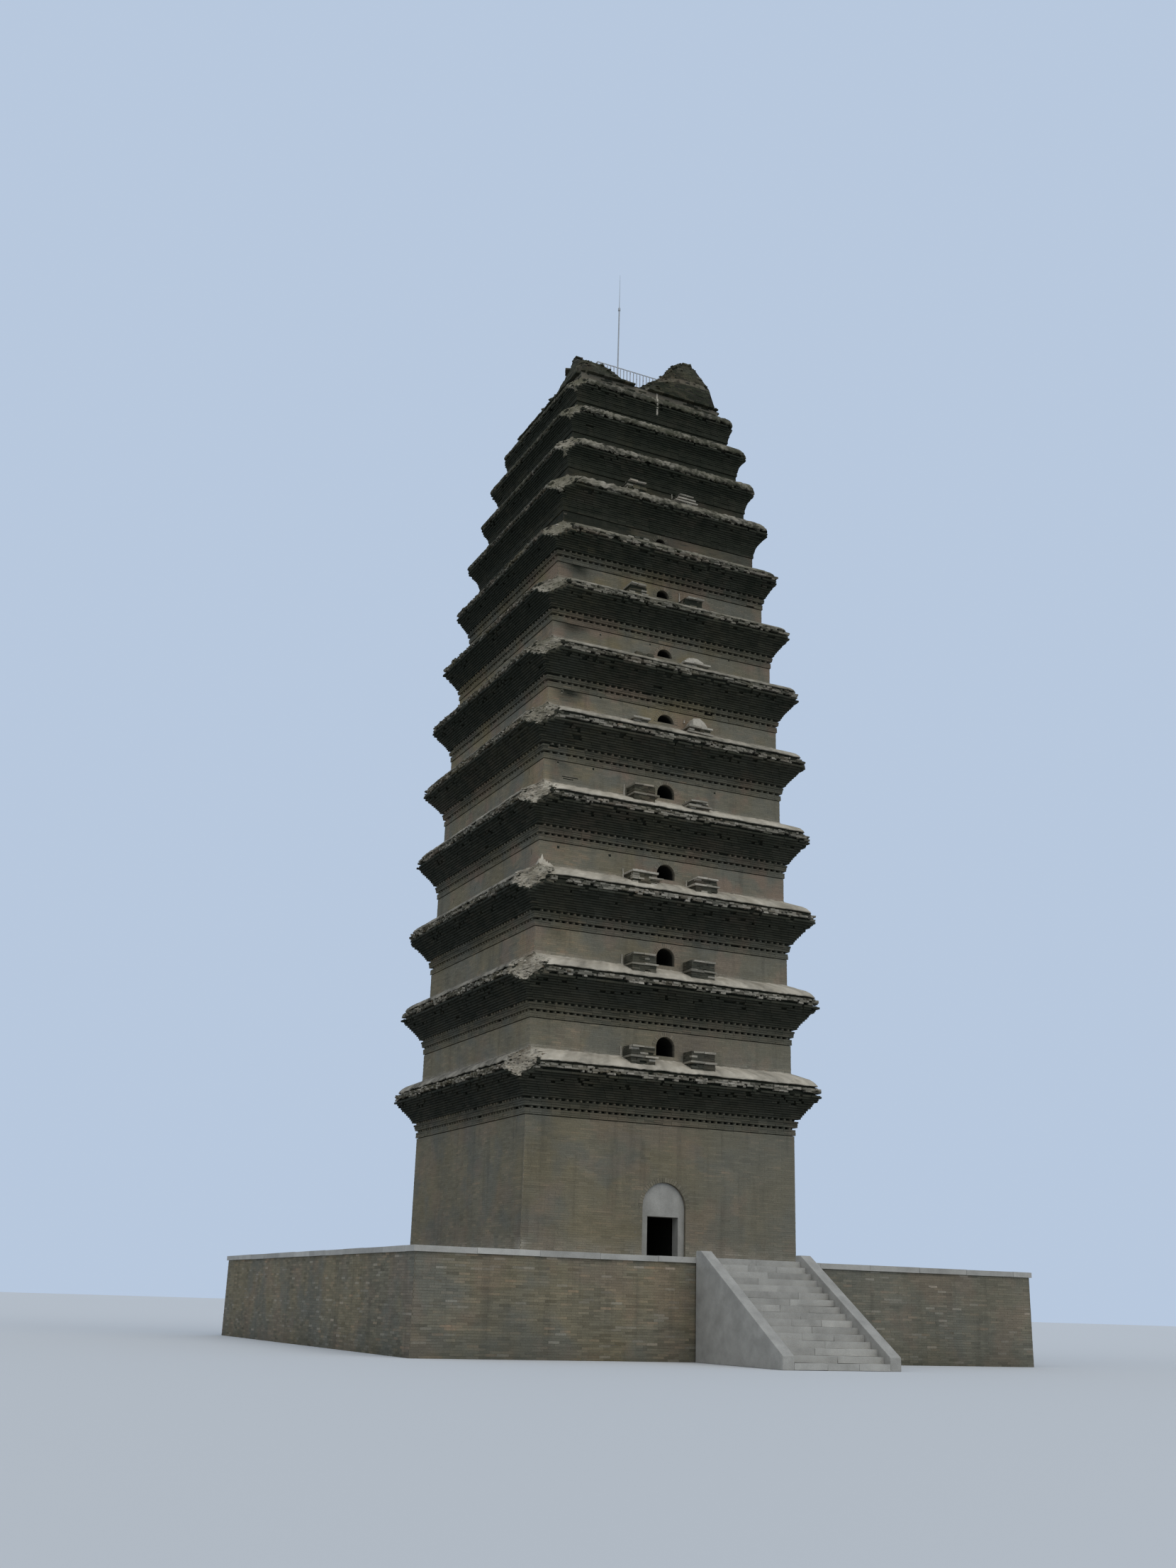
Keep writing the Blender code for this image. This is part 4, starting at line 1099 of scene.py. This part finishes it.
def build_break(number):
    """The broken near corner of an eave: ends of courses, and pale rubble and old mortar over them."""
    s = storeys[number]
    widest = number == WIDEST_BREAK
    foot = s.lip - BREAK_DEPTH - 0.05 * s.crusted - 0.05 * widest
    heap = Heap()
    for k in range(int((s.eave_top - foot) / COURSE)):
        z = foot + k * COURSE + COURSE / 2
        reach, chord = break_edge(s, z)
        count = int(2 * (chord + 0.02) / 0.085)
        for i in range(count):
            v = -chord + 2 * chord * (i + 0.5) / count + normal(0, 0.008)
            centre = (reach - 0.092 + normal(0, 0.014)) * DIAGONAL + v * ACROSS + z * UP
            size = np.array((0.07, 0.045, COURSE / 2 - 0.002))[[1, 0, 2] if (i + k) % 2 else [0, 1, 2]]
            corners = np.where(CORNER_BITS, size, -size) + normal(0, 0.004, (8, 3)) + centre
            soot = np.clip(normal(0.66, 0.14) + 0.25 * s.age, 0.2, 0.97)
            heap.boxes(corners[None], (normal(0.6, 0.2), 0.25 * (chance() < 0.12), soot, 0.3 * s.age))
    heap.build(f"storey_{number}_eave_broken_ends")

    heap = Heap()
    rubble = RUBBLE_GRIME[number - 1]
    rows, columns = PATCH_GRID
    levels = np.linspace(s.eave_top + 0.03, foot, rows)
    across = np.linspace(-1, 1, columns)
    top = np.zeros((rows, columns, 3))
    finish = np.zeros((rows, columns, 4))
    height = (levels - foot) / (s.eave_top - foot)
    step = uniform(-1, 1, rows)
    for r, z in enumerate(levels):
        reach, chord = break_edge(s, z)
        down = np.clip((s.knee_level - z) / (s.knee_level - foot), 0, 1)
        left = -chord - 0.02 - 0.03 * s.crusted - 0.04 * widest * down + 0.016 * step[r] * down
        right = chord * (1 - down) + 0.02 + 0.035 * step[r // 2] * min(4 * down, 1)
        v = (left + right) / 2 + across * max(right - left, 0.02) / 2
        lump = 0.016 * noise_along(v * 22 + r * 0.5, number * 17, (1.0, 2.7, 5.3)) * min(r / 4, 1)
        rim = 0.030 * np.abs(across) ** 6
        top[r] = (reach + 0.012 + lump - rim)[:, None] * DIAGONAL + v[:, None] * ACROSS + z * UP
        top[r] += normal(0, 0.004, top[r].shape) * min(r / 3, 1)
        bright = 0.20 * bell(v + 0.55 * chord, 0.12) * down
        soot = rubble + 0.16 * (height[r] - 0.3) * (not s.worn) - bright + normal(0, 0.08, columns)
        washed = np.clip((v + 0.10 * chord) / 0.08, 0, 1) * np.clip((z - s.knee_level + 0.10) / 0.06, 0, 1)
        pale = (1.1 * height[r] - 0.15 + normal(0, 0.12, columns)) * (1 - 0.6 * s.age)
        finish[r, :, 1] = pale * (1 - washed)
        finish[r, :, 2] = np.clip(soot * (1 - washed) + s.grime * washed, 0, 1)
    finish[..., 0] = normal(0.50, 0.20, finish.shape[:2])
    finish[..., 3] = 0.25 + 0.75 * s.age
    heap.sheet(top, top - 0.06 * DIAGONAL, np.concatenate([finish, finish]).reshape(-1, 4))
    for _ in range(PLAIN_CHIPS if number < FIRST_SOFT else WORN_CHIPS):
        z = uniform(foot + 0.06, s.eave_top - 0.10)
        reach, chord = break_edge(s, z)
        down = np.clip((s.knee_level - z) / (s.knee_level - foot), 0, 1)
        v = uniform(-chord, chord * (1 - down))
        size = (uniform(0.020, 0.055), uniform(0.018, 0.035), uniform(0.008, 0.017))
        soot = np.clip(normal(rubble - 0.05, 0.16), 0, 1)
        heap.boxes(tilted(size, 0.2, (reach + 0.002) * DIAGONAL + v * ACROSS + z * UP),
                   (normal(0.5, 0.2), 0.3, soot, s.age))
    heap.build(f"storey_{number}_eave_broken_corner", LIME, smooth=number >= FIRST_SOFT)


# Blocks and upright slabs beside the windows

def spans(low, high, most):
    """Ends of equal lengths between two ends, none over the most, moved a little."""
    count = max(math.ceil((high - low) / most), 1)
    edges = np.linspace(low, high, count + 1)
    edges[1:-1] += uniform(-0.02, 0.02, count - 1)
    return edges


def lay_block(heap, side, s, block):
    """A stepped block of brickwork that stands on the eave of storey s, with its back to the next wall."""
    (low, high), body, ledges, dome, rough = block
    wall, foot = s.next_half, s.eave_top
    face = wall + (s.lip_half - wall) * BLOCK_REACH
    bottom = s.slope_level(face) - 0.03
    dull = 0.20 * s.age ** 1.5
    back, wear = wall - 0.01, 0.002 + 0.002 * rough
    grey = 0.20 if rough > 0.05 else 0.36

    # shade(): bricks that are not bright get a high soot value, painted shade on the block's faces; the pale
    # of the ledges is painted sunlight on their tops
    def shade(count, bright):
        pale = uniform(0.5, 1.0, count) * bright
        soot = np.where(bright > 0.2, grey, 0.70 - 0.30 * rough) + dull + normal(0, 0.08, count)
        return stack(normal(0.5, 0.2, count), pale, np.clip(soot, 0, 1), 0.7 * s.age)

    levels = np.arange(bottom, foot + body, COURSE)
    # A near-black heart behind the bricks: painted shade in the gaps between them
    heart = (back, low + 0.04, bottom), (face - 0.05, high - 0.04, levels[-1] + 0.02)
    heap.bricks(side, *heart, (0.3, 0, 0.95, 0), wear=0.002)
    for k, z in enumerate(levels):
        up = (z - bottom) / max(levels[-1] - bottom, COURSE)
        inset = 0.035 * rough * chance() + 0.06 * rough * up ** 2
        a, b, front = low + inset, high - inset, face - inset - (0.02 if ledges else 0.0)
        u0, u1 = between(spans(a, b, BRICK if k % 2 else BRICK * 0.8))
        keep = chance(len(u0)) >= 0.22 * rough
        n1 = front + normal(0, 0.003 + 0.012 * rough, len(u0))
        bright = (chance(len(u0)) < 0.55 * rough) * 0.8
        z1 = z + COURSE - JOINT
        ends = stack(n1 - 0.09, u0, z)[keep], stack(n1, u1, z1)[keep]
        heap.bricks(side, *ends, shade(len(u0), bright)[keep], wear, turn=0.02 * rough, tip=0.01 * rough)
        for u_low, u_high in ((a, a + 0.09), (b - 0.09, b)):
            for n0, n2 in pairwise(spans(back, front - 0.092, BRICK)):
                ends = (n0 + UPRIGHT, u_low, z), (n2, u_high, z1)
                heap.bricks(side, *ends, shade(1, np.array([0.3 * rough])), wear)
    # Ledges pale: painted sunlight on their tops, less on the neat blocks
    bright = np.array([1.0 if rough > 0.15 else 0.6])
    for u_low, u_high, level in ledges:
        for u0, u1 in pairwise(spans(u_low, u_high, 0.30)):
            out = face + 0.015 + uniform(-0.010, 0.010) * (1 + rough)
            top = foot + level + uniform(-0.004, 0.004)
            ends = (back, u0 + 0.001, foot + level - 0.034), (out, u1 - 0.001, top)
            heap.bricks(side, *ends, shade(1, bright), 0.003 + 0.003 * rough, turn=0.01, tip=0.012)
    if dome:
        u_low, u_high, height = dome
        base = foot + (ledges[-1][2] if ledges else body) - 0.01
        finish = (0.55, 0.95, 0.16 + dull, 0.6 * s.age)
        lay_mound(heap, side, (back, face - 0.02), (u_low, u_high), base, height, finish)


def lay_mound(heap, side, deep, wide, base, height, finish):
    """A worn hump of lime and rubble against a wall."""
    t, v = np.linspace(0, 1, 8)[:, None], np.linspace(-1, 1, 14)
    n = deep[0] + (deep[1] - deep[0]) * t
    u = (wide[0] + wide[1]) / 2 + v * (wide[1] - wide[0]) / 2 * (1 - 0.10 * t ** 3)
    crown = (1 - np.abs(v + 0.12) ** 2.4 * 0.75).clip(0) * (1 - 0.55 * np.abs(2 * t - 1) ** 3)
    crown = crown * (np.abs(v) < 0.999) * (t < 0.999)
    z = base + height * crown + normal(0, 0.006, crown.shape) * (crown > 0)
    top = stack(n + 0.010 * noise_along(v * 6, 3), u, z)
    heap.sheet(place(side, top), place(side, stack(n, u, base - 0.02)), finish)


def lay_fin(heap, side, wall, u, low, high, age):
    """A thin upright slab of lime against a wall, narrower and dimmer towards its top."""
    share = np.linspace(0, 1, 6)
    wide, deep = 0.013 - 0.005 * share, 0.036 - 0.020 * share
    z = low + (high - low) * share
    middle = u + 0.004 * noise_along(share * 9, u * 7)
    corners, finish = [], []
    for out, right, up in CORNER_BITS:
        at = slice(1, None) if up else slice(None, -1)
        n = wall + (deep[at] if out else -0.004)
        corners.append(stack(n, middle[at] + (wide[at] if right else -wide[at]), z[at]))
        finish.append(stack(0.6, 1 - 0.25 * share[at], 0.04 + 0.4 * age ** 1.5 + 0.25 * share[at], 0.4 * age))
    heap.boxes(place(side, np.stack(corners, 1)), np.stack(finish, 1))


def build_blocks(number):
    """Blocks and upright slabs on an eave, beside the windows of the storey above it, front and back."""
    s, above = storeys[number], number + 1
    wall, foot = s.next_half, s.eave_top
    heap = Heap()
    for side in (FRONT, BACK):
        for block in BLOCKS[above]:
            lay_block(heap, side, s, block)
        for u, low, high in FINS.get(above, ()):
            lay_fin(heap, side, wall, u, foot + low, foot + high, s.age)
        if number == SMEARED:
            fallen = (wall - 0.004, -0.40, foot + 0.015), (wall + 0.16, -0.14, foot + 0.045)
            heap.bricks(side, *fallen, (0.6, 0.9, 0.1, 0), wear=0.006, tip=0.05)
    heap.build(f"storey_{number}_eave_blocks")


# The broken top, with the levels of two browner courses on its right mass

RUIN_LEDGE = 21.03
RUIN_FOOT = 20.48
WELD = 1e-5


def welded(name):
    """A node's mesh to edit, with its doubled points joined."""
    bm = bmesh.new()
    bm.from_mesh(frame["nodes"][name].data)
    bmesh.ops.remove_doubles(bm, verts=bm.verts, dist=WELD)
    return bm


def sections(name, level):
    """Closed outlines of a node at a level, each as its points in order, counter-clockwise."""
    bm = welded(name)
    geometry = [*bm.verts, *bm.edges, *bm.faces]
    cut = bmesh.ops.bisect_plane(bm, geom=geometry, plane_co=(0, 0, level), plane_no=(0, 0, 1))["geom_cut"]
    around = {}
    for edge in cut:
        if isinstance(edge, bmesh.types.BMEdge):
            a, b = ((round(v.co.x, 5), round(v.co.y, 5)) for v in edge.verts)
            around.setdefault(a, []).append(b)
            around.setdefault(b, []).append(a)
    bm.free()
    loops = []
    while around:
        loop = [min(around)]
        while following := [p for p in around.pop(loop[-1], []) if p in around]:
            loop.append(following[0])
        p = np.array(loop)
        q = np.roll(p, -1, axis=0)
        area = (p[:, 0] * q[:, 1] - q[:, 0] * p[:, 1]).sum() / 2
        if abs(area) > 0.002:
            loops.append(p if area > 0 else p[::-1])
    return loops


def lay_outline(heap, loop, z0, z1, depth, shift, finish_of, lost, ragged=0.02, proud=0.004, length=BRICK):
    """A course of bricks round a closed outline, their long faces along it."""
    closed = np.vstack([loop, loop[:1]])
    lengths = np.linalg.norm(closed[1:] - loop, axis=1)
    total = lengths.sum()
    count = max(int(total / length), 3)
    at = (np.arange(count + 1) + shift) * total / count
    along = np.concatenate([[0], np.cumsum(lengths)])
    points = stack(np.interp(at % total, along, closed[:, 0]), np.interp(at % total, along, closed[:, 1]))
    a, b = points[:-1], points[1:]
    run = np.linalg.norm(b - a, axis=1)
    keep = (chance(count) >= lost) & (run > 0.04)
    a, b, run = a[keep], b[keep], run[keep]
    towards = (b - a) / run[:, None]
    out = stack(towards[:, 1], -towards[:, 0])
    face = proud - ragged * chance(len(a)) ** 2 + normal(0, 0.003, len(a))
    corners = np.zeros((len(a), 8, 3))
    for k, (i, j, up) in enumerate(CORNER_BITS):
        along_it = np.where(i, run - UPRIGHT, UPRIGHT)[:, None] * towards
        outward = np.where(j, face, face - depth)[:, None] * out
        corners[:, k, :2] = a + along_it + outward
        corners[:, k, 2] = (z1 - JOINT / 2) if up else (z0 + JOINT / 2)
    corners += normal(0, 0.0025, corners.shape)
    heap.boxes(corners, finish_of((a + b) / 2, (z0 + z1) / 2))


def scatter(heap, name, count, finish_of, lowest=0.35):
    """Loose bricks and lumps on a node's upward faces."""
    mesh = frame["nodes"][name].data
    tris = []
    for polygon in mesh.polygons:
        if polygon.normal.z > lowest:
            p = [mesh.vertices[v].co for v in polygon.vertices]
            tris += [(p[0], p[i], p[i + 1]) for i in range(1, len(p) - 1)]
    tris = np.array(tris, float)
    area = np.linalg.norm(np.cross(tris[:, 1] - tris[:, 0], tris[:, 2] - tris[:, 0]), axis=1)
    t = tris[rng.choice(len(tris), count, p=area / area.sum())]
    r1, r2 = np.sqrt(chance(count))[:, None], chance(count)[:, None]
    for c in t[:, 0] * (1 - r1) + t[:, 1] * r1 * (1 - r2) + t[:, 2] * r1 * r2:
        size = (uniform(0.025, 0.060), uniform(0.02, 0.04), uniform(0.006, 0.014))
        heap.boxes(tilted(size, 0.10, c + (0, 0, 0.003)), finish_of(c[None, :2], c[2]))


def ruin_finish(middle, level):
    """Mossy, sooty bricks of the standing masses, with browner courses on the right one."""
    count = len(middle)
    x, y = middle.T
    soot = normal(0.78, 0.07, count) + 0.10 * noise_along(x * 4 + level * 3, 5)
    pale = np.where(chance(count) < 0.03, 0.25, 0.0)
    right = (x > 0.3) & (y < -0.9)
    ledge = right & (abs(level - RUIN_LEDGE) < 0.045)
    foot = (x > -0.15) & (y < -1.2) & (abs(level - RUIN_FOOT) < 0.045)
    soot = np.where(foot, 0.40, np.where(ledge, 0.56, soot + 0.16 * (right & (level < RUIN_LEDGE - 0.04))))
    pale = np.where(ledge, 0.2, np.where(foot, 0.45, pale))
    return stack(normal(0.45, 0.16, count), pale, np.clip(soot, 0.3, 0.98), np.where(ledge | foot, 0.3, 0.95))


def top_wall_finish(middle, level):
    """Sooty bricks of the last storey's stump, with a pale patch in front and a paler rim."""
    count = len(middle)
    x, y = middle.T
    up = level - storeys[STOREYS].base
    rim = up > 0.195
    patch = (y < -1.6) & (abs(x - 0.72) < 0.20) & (up < 0.14)
    soot = np.where(patch, 0.40, normal(0.72 if rim else 0.95, 0.06, count))
    pale = np.where(chance(count) < (0.4 if rim else 0.03), uniform(0.2, 0.5, count), 0.0)
    pale = np.where(patch, 0.7, pale)
    return stack(normal(0.55, 0.15, count), pale, np.clip(soot, 0, 0.98), 0.2 if rim else 0.6)


def build_top():
    """Bricks of the last storey's stump and of the two masses on it, and the debris between them."""
    heap = Heap()
    low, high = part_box("storey_13_wall")
    for k in range(round((high.z - low.z) / COURSE)):
        z0 = low.z + k * COURSE
        outline = max(sections("storey_13_wall", z0 + 0.004), key=lambda p: np.ptp(p[:, 0]))
        lay_outline(heap, outline, z0, min(z0 + COURSE, high.z), 0.12, 0.5 * (k % 2), top_wall_finish,
                    lost=0.02 + 0.03 * (k > 3))
    heap.build("storey_13_wall_bricks")
    for name in ("summit_left_mass", "summit_right_mass"):
        heap = Heap()
        low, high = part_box(name)
        for k in range(int((high.z - low.z) / COURSE)):
            z0 = low.z + 0.002 + k * COURSE
            for loop in sections(name, z0 + 0.006):
                lay_outline(heap, loop, z0, z0 + COURSE, 0.14, 0.5 * (k % 2), ruin_finish,
                            lost=0.01, ragged=0.014, proud=0.006, length=0.13)
        scatter(heap, name, 90, ruin_finish)
        heap.build(f"{name}_bricks")
    heap = Heap()
    scatter(heap, "roof_slab", 70, ruin_finish, 0.9)
    heap.build("roof_debris")


# Plinth, coping and steps

SLAB = 1.05
SLAB_WIDTH = 0.42
SLAB_GAP = 0.002
TILE = 0.32
STEPS = 16
TREAD_REACH = 2.2
STONE_JOINT = 0.0015
INSIDE_BOX = 0.005


def build_plinth():
    heap = Heap()
    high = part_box("plinth")[1]
    lay_wall(heap, 0, 0.0, high.z, high.x, finish_of=plinth_finish)
    heap.build("plinth_bricks")


def stone_finish(tone=0.5, soot=0.12, spread=0.1):
    return normal(tone, 0.25), 0, np.clip(normal(soot, spread), 0, 1), 0


def build_coping():
    """Edge slabs and square paving on top of the plinth."""
    heap = Heap()
    low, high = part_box("plinth_coping")
    edge, inner = high.x - 0.004, high.x - SLAB_WIDTH
    bed = edge - 0.02
    heap.bricks(FRONT, (-bed, -bed, low.z), (bed, bed, high.z - 0.012), (0.2, 0, 0.6, 0), wear=FLAT)
    for side in SIDES:
        for u0, u1 in pairwise(spans(-edge, inner, SLAB)):
            top = high.z - uniform(0, 0.003)
            ends = (inner + SLAB_GAP, u0 + SLAB_GAP, low.z), (edge, u1 - SLAB_GAP, top)
            heap.bricks(side, *ends, stone_finish(), wear=0.0015)
    count = round(2 * inner / TILE)
    tile = 2 * inner / count
    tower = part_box("storey_1_front_wall")[1].x - 0.03
    for i in range(count):
        for j in range(count):
            x, y = -inner + i * tile, -inner + j * tile
            across, along = abs(x + tile / 2), abs(y + tile / 2)
            covered = x > -tower and x + tile < tower and y > -tower and y + tile < tower
            if covered and max(across, along) > SHAFT + 0.3 and across > DOOR_HALF + 0.2:
                continue
            top = high.z - uniform(0.0005, 0.003)
            ends = (x + SLAB_GAP, y + SLAB_GAP, low.z + 0.02), (x + tile - SLAB_GAP, y + tile - SLAB_GAP, top)
            heap.bricks(RIGHT, *ends, stone_finish(0.35, 0.25, 0.12), wear=0.0012)
    heap.build("plinth_coping_slabs", STONE, ["plinth_coping"])


def build_steps(side, word):
    """Stone treads, two or three stones each, with worn noses that stay inside the solids' box."""
    heap = Heap()
    low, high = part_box(f"{word}_steps")
    rise = high.z / STEPS
    near, far = sorted((abs(low.y), abs(high.y)))
    far -= INSIDE_BOX
    tread = (far - near) / STEPS
    for i in range(STEPS):
        for u0, u1 in pairwise(spans(low.x, high.x, 0.95 if i % 2 else 0.65)):
            front = far - i * tread
            back = max(front - TREAD_REACH * tread, near)
            low_end = (back, u0 + STONE_JOINT, max(i * rise, INSIDE_BOX))
            high_end = (front, u1 - STONE_JOINT, (i + 1) * rise - 0.001)
            heap.bricks(side, low_end, high_end, stone_finish(), wear=0.002)
    heap.build(f"{word}_steps_stones", STONE, [f"{word}_steps"])


def soften(name, width):
    """A copy of a node's mesh with worn edges, which stands for the node."""
    bm = welded(name)
    bmesh.ops.dissolve_limit(bm, angle_limit=0.02, verts=bm.verts, edges=bm.edges)
    sharp = [e for e in bm.edges if e.calc_face_angle(0.0) > 0.4]
    bmesh.ops.bevel(bm, geom=sharp, offset=width, segments=2, profile=0.6, affect="EDGES")
    mesh = bpy.data.meshes.new(f"{name}_worn")
    bm.to_mesh(mesh)
    bm.free()
    carry(f"{name}_worn", mesh, STONE, [name])


def build_wall(number):
    """Bricks on the outer faces of a storey's wall."""
    s = storeys[number]
    heap = Heap()
    lay_wall(heap, number, s.base, s.top, s.half, s.window())
    if s.window():
        for side in (FRONT, BACK):
            lay_arch(heap, side, s, 0.043 if number > 1 else 0.05)
    heap.build(f"storey_{number}_wall_bricks")


for number in range(1, STOREYS):
    for maker in (build_eave, build_wash, build_wall, build_break):
        maker(number)
    if number + 1 in BLOCKS:
        build_blocks(number)
build_top()
build_plinth()
build_coping()
build_steps(FRONT, "front")
build_steps(BACK, "back")
for word in ("front", "back"):
    soften(f"{word}_door_frame", 0.006)
    soften(f"{word}_steps_left_kerb", 0.012)
    soften(f"{word}_steps_right_kerb", 0.012)

# Finishes of the solids that stay in sight; every storey's wall has its own, as dark as the wall's soot and
# painted shade, and near black as painted shade deep behind its face
CARRIED = {"grey_brick": CORE, "pale_stone": STONE, "old_timber": TIMBER, "grey_metal": STEEL}
ITS_OWN = {
    "storey_13_wall": CORE,
    "summit_left_mass": RUIN_CORE,
    "summit_right_mass": RUIN_CORE,
    "roof_slab": SLAB_TOP,
}
slots = {row["node"]: row["material_slot"] for row in frame["record"]["subparts"]}
reveals = {
    k: core_material(f"bedded_masonry_{k}", s.half, s.soot) for k, s in storeys.items() if k < STOREYS
}
for name, node in frame["nodes"].items():
    finish = ITS_OWN.get(name, CARRIED[slots[name]])
    if name.endswith("_wall") and name not in ITS_OWN:
        finish = reveals[int(name.split("_")[1])]
    node.data.materials.clear()
    node.data.materials.append(finish)


# Stage, light and camera

FLOOR_REACH = 400.0

# Sun lamps: name, strength, width in degrees, colour and turns about X and Z in degrees
LAMPS = (
    ("key", 1.15, 60, (1.0, 0.94, 0.84), 42, 10),
    ("fill", 0.42, 70, (1.0, 0.90, 0.76), 50, -80),
)


def build_stage():
    mesh = bpy.data.meshes.new("floor")
    mesh.from_pydata([(FLOOR_REACH * x, FLOOR_REACH * y, 0) for x, y in SQUARE], [], [(0, 1, 2, 3)])
    floor = show("floor", mesh)
    mesh.materials.append(Nodes("pale_floor").done((0.52, 0.53, 0.53), 0.9))


def build_light():
    world = bpy.data.worlds.new("studio")
    bpy.context.scene.world = world
    world.use_nodes = True
    sky = world.node_tree.nodes["Background"]
    sky.inputs["Color"].default_value = (0.56, 0.68, 0.86, 1)
    sky.inputs["Strength"].default_value = 0.85
    for name, energy, width, colour, about_x, about_z in LAMPS:
        lamp = bpy.data.lights.new(name, "SUN")
        lamp.energy, lamp.angle, lamp.color = energy, math.radians(width), colour
        show(name, lamp).rotation_euler = (math.radians(about_x), 0, math.radians(about_z))


# The camera that was fitted to the photograph: metres, radians, and pixels for its focal length
CAMERA_DISTANCE = 32.157
CAMERA_AZIMUTH = 0.45454
CAMERA_YAW = -0.01282
CAMERA_PITCH = 0.32283
CAMERA_ROLL = 0.02999
CAMERA_HEIGHT = 0.8
PHOTO_HEIGHT = 2212.0
PHOTO_FOCAL = 2201.118
SENSOR = 36.0


def build_camera():
    data = bpy.data.cameras.new("camera")
    data.sensor_fit = "AUTO"
    data.sensor_width = SENSOR
    data.lens = PHOTO_FOCAL / PHOTO_HEIGHT * SENSOR
    data.clip_end = 1000.0
    x, y = -CAMERA_DISTANCE * math.sin(CAMERA_AZIMUTH), -CAMERA_DISTANCE * math.cos(CAMERA_AZIMUTH)
    heading = CAMERA_AZIMUTH + CAMERA_YAW
    sine, cosine, level = math.sin(heading), math.cos(heading), math.cos(CAMERA_PITCH)
    forward = Vector((sine * level, cosine * level, math.sin(CAMERA_PITCH)))
    right = Vector((cosine, -sine, 0))
    up = right.cross(forward)
    c, s = math.cos(CAMERA_ROLL), math.sin(CAMERA_ROLL)
    camera = show("camera", data)
    turned = Matrix((right * c + up * s, up * c - right * s, -forward)).transposed().to_4x4()
    turned.translation = (x, y, CAMERA_HEIGHT)
    camera.matrix_world = turned
    bpy.context.scene.camera = camera


build_stage()
build_light()
build_camera()
bpy.context.scene.view_settings.view_transform = "Standard"
